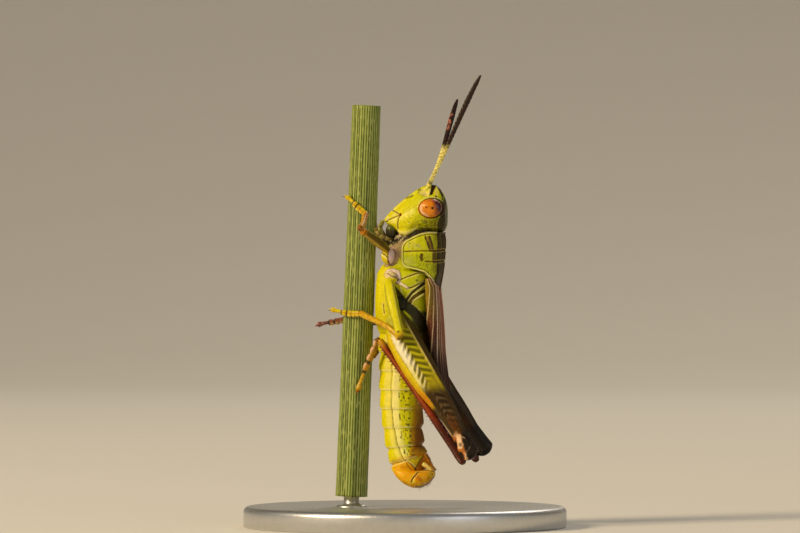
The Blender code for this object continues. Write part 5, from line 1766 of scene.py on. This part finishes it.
def makeFoot(pair, side, node, toward, far=False):
    hind = pair == "hind"
    spine = spineOf(node, toward)
    line = (lambda share: spine(1 - np.asarray(share))) if hind else spine
    up = (-0.3, 0, 1) if not hind else (0.8, 0, 0.5)
    share = np.linspace(0, feet["end"], 170)
    radius = np.interp(share, feet["stops"], feet["radii"])
    # the foot leans in until its pads rest on the stem
    (x0, r0, z0), (x1, r1, z1) = probeStem()
    path = line(share)
    climb = (path[:, 2] - z0) / (z1 - z0)
    away = path[:, :2] - np.column_stack((x0 + (x1 - x0) * climb, climb * 0))
    gaps = np.linalg.norm(away, axis=1) - r0 - (r1 - r0) * climb - radius
    nearest = away[gaps.argmin()] / np.linalg.norm(away[gaps.argmin()])
    pull = np.append(-nearest, 0) * max(gaps.min() - feet["rest"][pair], 0) * (gaps.min() < feet["reach"])
    free = line
    line = lambda share: free(share) + np.outer(soft(np.atleast_1d(share), 0.0, 0.25), pull)
    points = line(share)
    mesh = tubeMesh(node, points, radius, radius * 0.95, up, 32)

    def look(places, along, around, out):
        place = np.clip((along - 0.028) / 0.944, 0, 1) * feet["end"]
        grain = cloud(places, 0.08, 111)
        # the far foot is painted darker purple-brown as painted shade, with pinkish flecks as painted
        # highlights
        base = "#7A5048" if far else ("#B88F3C" if hind else "#D2B236")
        bright = "#B58A80" if far else "lemon"
        paint = tint(flat(base, places), (bright, soft(grain, 0.45, 0.75), 0.25 if hind else 0.55))
        under = soft(-np.cos(around * tau), 0.2, 0.8)
        pad = under * (place < 0.62)
        bumps = np.abs(np.sin(place / 0.145 * pi)) ** 0.5
        paint = tint(paint, ("#E0B79C" if hind else "#DDBB78", pad * bumps, 0.75))
        joint = np.minimum(np.abs(place - 0.445), np.abs(place - 0.625))
        paint = tint(paint,
            ("#9A5A1C", band(np.cos(around * tau), 0.1, 0.2, 0.3) * fade(place, 0.5, 0.7), 0.45),
            ("black", fade(joint, 0.018, 0.045), 0.85),
            ("umber", band(place % 0.145, 0.0, 0.008, 0.02) * (place < 0.45), 0.5),
            ("umber", fade(place, 0.02, 0.07), 0.7))
        return pad * bumps * 0.06 + 0.006 * (grain - 0.5), paint
    addPiece(f"{pair}Foot_{side}", mesh, look, tannedChitin, "yellow_cuticle", node)
    # two claws and the pad between them
    tip, before = Vector(line(feet["end"])[0]), Vector(line(0.85)[0])
    way = (tip - before).normalized()
    rise = Vector(up).normalized()
    rise = (rise - way * rise.dot(way)).normalized()
    across = way.cross(rise).normalized()
    claws = [hook(tip + across * turn * 0.05, way * 0.9 + across * turn * 0.9 + rise * 0.15,
                  -rise * 0.9 + way * 0.3, **feet["claw"]) for turn in (-1, 1)]
    # the far foot's claws take the same painted shade
    mesh = joinShapes(f"{pair}Claws_{side}", claws,
                      [("#D8B24A" if not far else "#8A6058", "#1A0F0A")] * 2)
    addPiece(f"{pair}Claws_{side}", mesh, None, clawHorn, "dark_cuticle")
    shape = bmesh.new()
    bmesh.ops.create_uvsphere(shape, u_segments=24, v_segments=16, radius=1.0)
    along = shape.verts.layers.float.new("along")
    around = shape.verts.layers.float.new("around")
    turn = Matrix((across, rise, way)).transposed().to_4x4()
    bmesh.ops.transform(shape, matrix=Matrix.Translation(tip + way * 0.10 - rise * 0.02) @ turn
                        @ Matrix.Diagonal((*feet["pad"], 1)), verts=shape.verts[:])
    mesh = meshOf("pad", shape)

    def lookPad(places, along, around, out):
        grain = cloud(places, 0.05, 113)
        # the far foot's pad takes the same painted shade
        base = "#C99A8A" if far else ("#C25A2A" if hind else "#E3CF7A")
        return 0.01 * (grain - 0.5), tint(flat(base, places), ("umber", soft(grain, 0.6, 0.85), 0.5))
    addPiece(f"{pair}Pad_{side}", mesh, lookPad, bellyChitin, "yellow_cuticle")


thigh = {"stations": 360, "around": 220, "chevronStep": 0.385, "apex": 0.04, "ridge": 0.05}


def makeJumpingThigh(side, sign):
    node = "hind_femur_" + side
    tree = solidTree(node)
    line = spineOf(node, "hind_coxa_" + side, 1)
    start, end = (Vector(line(share)[0]) for share in (0.0, 1.0))
    way = (end - start).normalized()
    rise = Vector((-way.z, 0, way.x)).normalized()
    outward = way.cross(rise).normalized()
    if outward.y * sign < 0:
        outward = -outward
    length = (end - start).length
    centres, radii = [], []
    shares = np.linspace(0, 1, thigh["stations"])
    for share in 0.85 * shares + 0.15 * (0.5 - 0.5 * np.cos(pi * shares)):
        centre = start + way * length * (0.012 + 0.976 * share)
        upper = tree.ray_cast(centre + rise * 5, -rise, 5)[0]
        lower = tree.ray_cast(centre - rise * 5, rise, 5)[0]
        centre = (upper + lower) / 2 if upper and lower else centre
        centres.append(centre)
        radii.append(castRing(tree, centre, rise, outward, thigh["around"]))
    radii = blur(np.array(radii), 14, 6)
    # both ends are rounded off
    ends = np.minimum(shares * length / 0.20, (1 - shares) * length / 0.34)
    radii *= np.sqrt(1 - (1 - np.clip(ends, 0, 1)) ** 2 * 0.92)[:, None]
    mesh = ringMesh(node, centres, [rise] * len(centres), [outward] * len(centres), radii)

    def look(places, along, around, out):
        local = places - np.array(start)
        u = local @ np.array(way)
        h = local @ np.array(rise)
        outside = local @ np.array(outward)
        outer = soft(outside, 0.02, 0.12)
        height = np.zeros(len(places))
        grain = grainOf(places, 0.10, 121)
        knee = soft(u, 7.3, 7.8)
        # ground: yellow below, cream in the middle, brown above and towards the knee
        rough = 0.10 * (grain - 0.5)
        paint = flat("#A8983A", places)
        paint = tint(paint, ("cream", band(h + rough, -0.40, 0.05, 0.10), 0.9))
        dark = soft(u - 0.5 * (h + 0.3) + rough, 4.2, 5.0)
        paint = tint(paint, ("#2C1608", dark, 0.96))
        # herringbone: light ribs on olive, pointing back to the hip
        drop = h - thigh["apex"]
        above, below = np.maximum(drop, 0), np.minimum(drop, 0)
        bent = u - 0.65 * above - 0.25 * above ** 2 + below
        phase = (bent + 0.10 * (cloud(places, 0.35, 123) - 0.5)) / thigh["chevronStep"]
        wave = np.cos(phase * tau)
        zone = soft(u, 1.2, 1.5) * fade(u + 0.6 * h, 4.1, 4.8) * outer
        field = zone * soft(h, -0.40, -0.22) * fade(h + rough, 0.46, 0.54)
        paint = tint(paint,
            ("#5E5A14", field * fade(wave, -0.75, 0.55), 0.88),
            ("#B9B42E", field * soft(wave, 0.1, 0.7) * soft(h, -0.05, 0.1), 0.85),
            ("#E2D8A6", field * soft(wave, 0.0, 0.6) * fade(h, -0.10, 0.05), 0.85),
            ("#F3ECD2", zone * band(h + rough, -0.40 + 0.05 * (u - 1.5), 0.10, 0.20)
             * fade(u, 2.6, 3.8), 0.7))
        height += field * 0.035 * wave
        greyZone = soft(u, 4.9, 5.3) * fade(u, 6.7, 7.1) * outer * band(h, 0.16, 0.18, 0.10)
        blotch = wave + 1.6 * (grain - 0.5)
        paint = tint(paint,
            ("#6A5740", greyZone * soft(blotch, 0.10, 0.75), 0.55),
            ("black", greyZone * fade(blotch, -0.7, -0.2), 0.6))
        height += greyZone * 0.02 * wave
        # upper keel line, brown upper band, yellow lower band with a painted highlight along its lower
        # edge
        belly = np.interp(u, (0.3, 1.7, 2.9, 4.2, 5.4, 6.5, 7.5),
                          (-0.60, -1.06, -1.08, -0.96, -0.70, -0.48, -0.42))
        upperLine = band(h, 0.55, 0.015, 0.04) * outer
        paint = tint(paint,
            ("#3A2408", soft(h, 0.56, 0.60), 0.94),
            ("straw", upperLine * soft(u, 0.8, 1.2) * fade(u, 3.6, 4.4), 0.85))
        height += thigh["ridge"] * band(h, 0.55, 0.02, 0.08) * outer * (1 - knee)
        lower = fade(h - (belly + 0.50 * np.clip(-belly, 0.5, 1.0)) + rough, -0.05, 0.03)
        gold = lower * fade(u + rough, 5.2, 5.9)
        paint = tint(paint,
            ("#DCC31C", gold, 0.96),
            ("#C9A214", gold * band(h - belly, 0.20, 0.04, 0.10), 0.8),
            ("amber", gold * soft(u, 4.0, 5.2), 0.75),
            ("#F0E27A", gold * fade(h - belly, 0.05, 0.12), 0.7))
        height += thigh["ridge"] * band(h - belly, 0.40, 0.02, 0.08) * outer * (1 - knee)
        paint = tint(paint,
            ("rust", fade(h - belly, -0.02, 0.05) * (1 - outer), 0.6),
            # hip end and the inner face
            ("lime", fade(u, 0.9, 1.6) * (h < 0.3), 0.6),
            ("olive", fade(u, 0.9, 1.8) * soft(h, 0.2, 0.4), 0.7))
        # knee: red-brown neck, dark roof, broken pink and cream patches on the side lobe, the pale ones
        # partly painted highlight
        neck = soft(u, 6.2, 6.8) * fade(u, 7.6, 8.0)
        paint = tint(paint,
            ("#6A3A14", neck * band(h, 0.05, 0.12, 0.16) * soft(grain, 0.3, 0.6), 0.7),
            ("#D9B98A", outer * band(h, -0.46 + 0.11 * (u - 6.2), 0.010, 0.03) * soft(u, 6.3, 6.6)
             * fade(u, 7.6, 7.9), 0.85),
            ("#150C08", knee, 0.92))
        patch = cloud(places * (1, 1, 0.8), 0.20, 124)
        lobe = knee * outer * fade(h + 0.25 * (u - 7.9) + rough, -0.02, 0.12)
        paint = tint(paint,
            ("#B8764A", lobe * soft(patch, 0.30, 0.42), 0.9),
            ("#EBCBA4", lobe * soft(patch, 0.50, 0.60), 0.9),
            ("#3A1A0E", lobe * fade(np.hypot(u - 8.12, h + 0.14), 0.05, 0.16), 0.7))
        # a thin pale crescent across the knee is a painted highlight
        crescent = np.hypot(u - 8.05, h + 0.10)
        paint = tint(paint, ("#D9B48C", outer * knee * band(crescent, 0.34, 0.004, 0.03)
                             * soft(h, 0.10, 0.2) * soft(patch, 0.40, 0.55), 0.8))
        height += 0.05 * lobe * (patch - 0.5)
        height -= 0.03 * outer * knee * band(crescent, 0.50, 0.015, 0.05)
        # the far thigh is painted darker towards the knee: painted shade
        if side == "right":
            paint = tint(paint,
                ("#0C0807", soft(u, 6.6, 7.6), 0.93),
                ("#24140B", soft(u, 3.0, 5.0) * fade(u, 6.8, 7.4), 0.7))
        height += 0.008 * (grain - 0.5)
        return height, paint
    addPiece("hindThigh_" + side, mesh, look, limeChitin, "lime_cuticle", node)


# radii in millimetres at shares of the length, from the knee to the foot
jumpingShin = {"bow": 0.12, "stops": (0, 0.02, 0.06, 0.13, 0.3, 0.5, 0.8, 0.95, 1.0),
               "radii": (0.12, 0.20, 0.215, 0.20, 0.20, 0.17, 0.145, 0.175, 0.15), "spines": 11,
               "spine": {"length": 0.22, "radius": 0.042, "rings": 6, "around": 7}}


def makeJumpingShin(side, sign):
    node = "hind_tibia_" + side
    # the spined side looks down, away from the thigh
    out = Vector((-0.55, sign * 0.25, -0.80)).normalized()

    def size(share):
        radius = np.interp(1 - share, jumpingShin["stops"], jumpingShin["radii"])
        return radius * 1.08, radius * 0.92

    def look(places, along, around, out):
        grain = cloud(places, 0.12, 131)
        turn = np.cos(around * tau)
        along = 1 - along
        # a broad and a narrow painted highlight run along one side, and the side that faces the thigh is
        # darkened with painted shade
        paint = tint(flat("#6E2009", places),
            ("#8A3410", soft(grain, 0.45, 0.75), 0.6),
            ("#9A4414", band(turn, 0.20, 0.15, 0.3) * soft(along, 0.25, 0.5), 0.6),
            ("#C88442", band(turn, 0.35, 0.02, 0.10) * soft(along, 0.35, 0.6), 0.6),
            ("#4E150A", soft(-turn, 0.3, 0.8), 0.8),
            ("#3A1A12", fade(along, 0.26, 0.42), 0.85),
            ("ochre", soft(along, 0.90, 0.97), 0.7))
        return 0.008 * (grain - 0.5) + 0.012 * np.abs(np.cos(around * tau * 1.5)) ** 6, paint
    spine = spineOf(node, "hind_tarsus_" + side)

    def line(share):
        bow = np.sin(pi * np.atleast_1d(np.clip(share, 0, 1)))
        return spine(share) - np.outer(bow, out) * jumpingShin["bow"]
    share = np.linspace(0.01, 0.995, 220)
    mesh = tubeMesh("hindShin_" + side, line(share), *size(share), out, 36)
    addPiece("hindShin_" + side, mesh, look, tannedChitin, "dark_cuticle", node)
    flip = lambda share: 1 - share                       # measured from the foot, named from the knee
    spikes, colours = [], []
    for row in (-1, 1):
        for i in range(jumpingShin["spines"]):
            share = flip(0.34 + 0.60 * i / (jumpingShin["spines"] - 1) + 0.01 * row)
            point = Vector(line(share)[0])
            ahead = (Vector(line(flip(1.0))[0]) - point).normalized()
            across = ahead.cross(out).normalized()
            lean = (out * 0.9 + across * row * 0.40 + ahead * 0.25).normalized()
            spikes.append(hook(point + lean * 0.12, lean, ahead, **jumpingShin["spine"]))
            colours.append(("#8A3A16", "#140A06"))
    end = Vector(line(flip(0.98))[0])
    ahead = (end - Vector(line(flip(0.9))[0])).normalized()
    across = ahead.cross(out).normalized()
    for row, reach in ((-1, 0.42), (-0.45, 0.34), (0.45, 0.34), (1, 0.42)):
        lean = (ahead * 0.9 + across * row * 0.5 + out * 0.35).normalized()
        spikes.append(hook(end + lean * 0.06, lean, out, reach, 0.045, 7, 8))
        colours.append(("#C98A4A", "#140A06"))
    mesh = joinShapes("hindSpines_" + side, spikes, colours)
    addPiece("hindSpines_" + side, mesh, None, clawHorn, "dark_cuticle")
    makeFoot("hind", side, "hind_tarsus_" + side, node)


# limb hairs: how many on each side and their length in millimetres
hairs = {"radius": 0.005, "colour": "#E9DFC0", "tip": "#F7F2E2", "tries": 60,
         "limbs": {"hindShin": (60, 0.12), "hindFoot": (24, 0.08), "foreShin": (24, 0.08),
                   "midShin": (30, 0.08), "foreFoot": (14, 0.07), "midFoot": (14, 0.07),
                   "foreThigh": (14, 0.07), "midThigh": (18, 0.07), "hindThigh": (50, 0.07)}}


def makeHairs():
    # a few hundred fine tapering bristles, all in one mesh, each rooted on a finished skin
    jobs = [(f"{name}_{side}", *size, None) for name, size in hairs["limbs"].items() for side in sides]
    jobs += [("tailScoop", 70, 0.17, lambda place: place[2] < 2.45 and place[0] > 0.6),
             ("trunkSkin", 60, 0.10, lambda place: place[0] < -0.4 and place[2] < 13.6),
             ("abdomenSkin", 90, 0.08, lambda place: place[0] < 0.5),
             ("headCapsule", 40, 0.07, lambda place: place[0] < 0.2 and place[2] < 16.4)]
    verts, faces, colours = [], [], []
    for name, count, length, where in jobs:
        mesh = bpy.data.objects[name].data
        left = count
        for attempt in range(count * hairs["tries"]):
            if not left:
                break
            vert = mesh.vertices[random.randrange(len(mesh.vertices))]
            root = vert.co / mm
            if where and not where(root):
                continue
            left -= 1
            way = vert.normal.normalized()
            across = way.orthogonal().normalized()
            upward = way.cross(across)
            reach = length * random.uniform(0.6, 1.2)
            lean = (across * random.uniform(-1, 1)
                    + upward * random.uniform(-1, 1)) * 0.25 + Vector((0, 0, -0.2))
            start = len(verts)
            for share, size in ((-0.05, 1.0), (0.5, 0.7)):
                middle = root + way * reach * share + lean * reach * max(share, 0) ** 2
                for turn in range(3):
                    verts.append(middle + (across * cos(tau * turn / 3) + upward * sin(tau * turn / 3))
                                 * hairs["radius"] * size)
            verts.append(root + way * reach + lean * reach)
            for turn in range(3):
                after = (turn + 1) % 3
                faces.append((start + turn, start + after, start + 3 + after, start + 3 + turn))
                faces.append((start + 3 + turn, start + 3 + after, start + 6))
            colours += [hairs["colour"]] * 6 + [hairs["tip"]]
    mesh = bpy.data.meshes.new("bristles")
    mesh.from_pydata([tuple(vert) for vert in verts], [], faces)
    paint = mesh.attributes.new("paint", "FLOAT_COLOR", "POINT")
    paint.data.foreach_set("color", np.array([(*linear(colour), 1) for colour in colours]).ravel())
    addPiece("bristles", mesh, None, bristleHair, "yellow_cuticle")


makeHead()
makeEyes()
makeMouth()
print("head, eyes and mouth are made")
for side, sign in sides.items():
    makeFeeler(side, sign)
makeSaddle()
makeTrunk()
print("feelers, saddle and trunk are made")
makeAbdomen()
makeTip()
for side, sign in sides.items():
    makeWing(side, sign)
print("abdomen and wing covers are made")
for side, sign in sides.items():
    for pair in ("fore", "mid", "hind"):
        makeCoxa(pair, side)
    makeSmallLeg("fore", side, sign)
    makeSmallLeg("mid", side, sign)
    makeJumpingThigh(side, sign)
    makeJumpingShin(side, sign)
makeHairs()
print("legs and bristles are made")
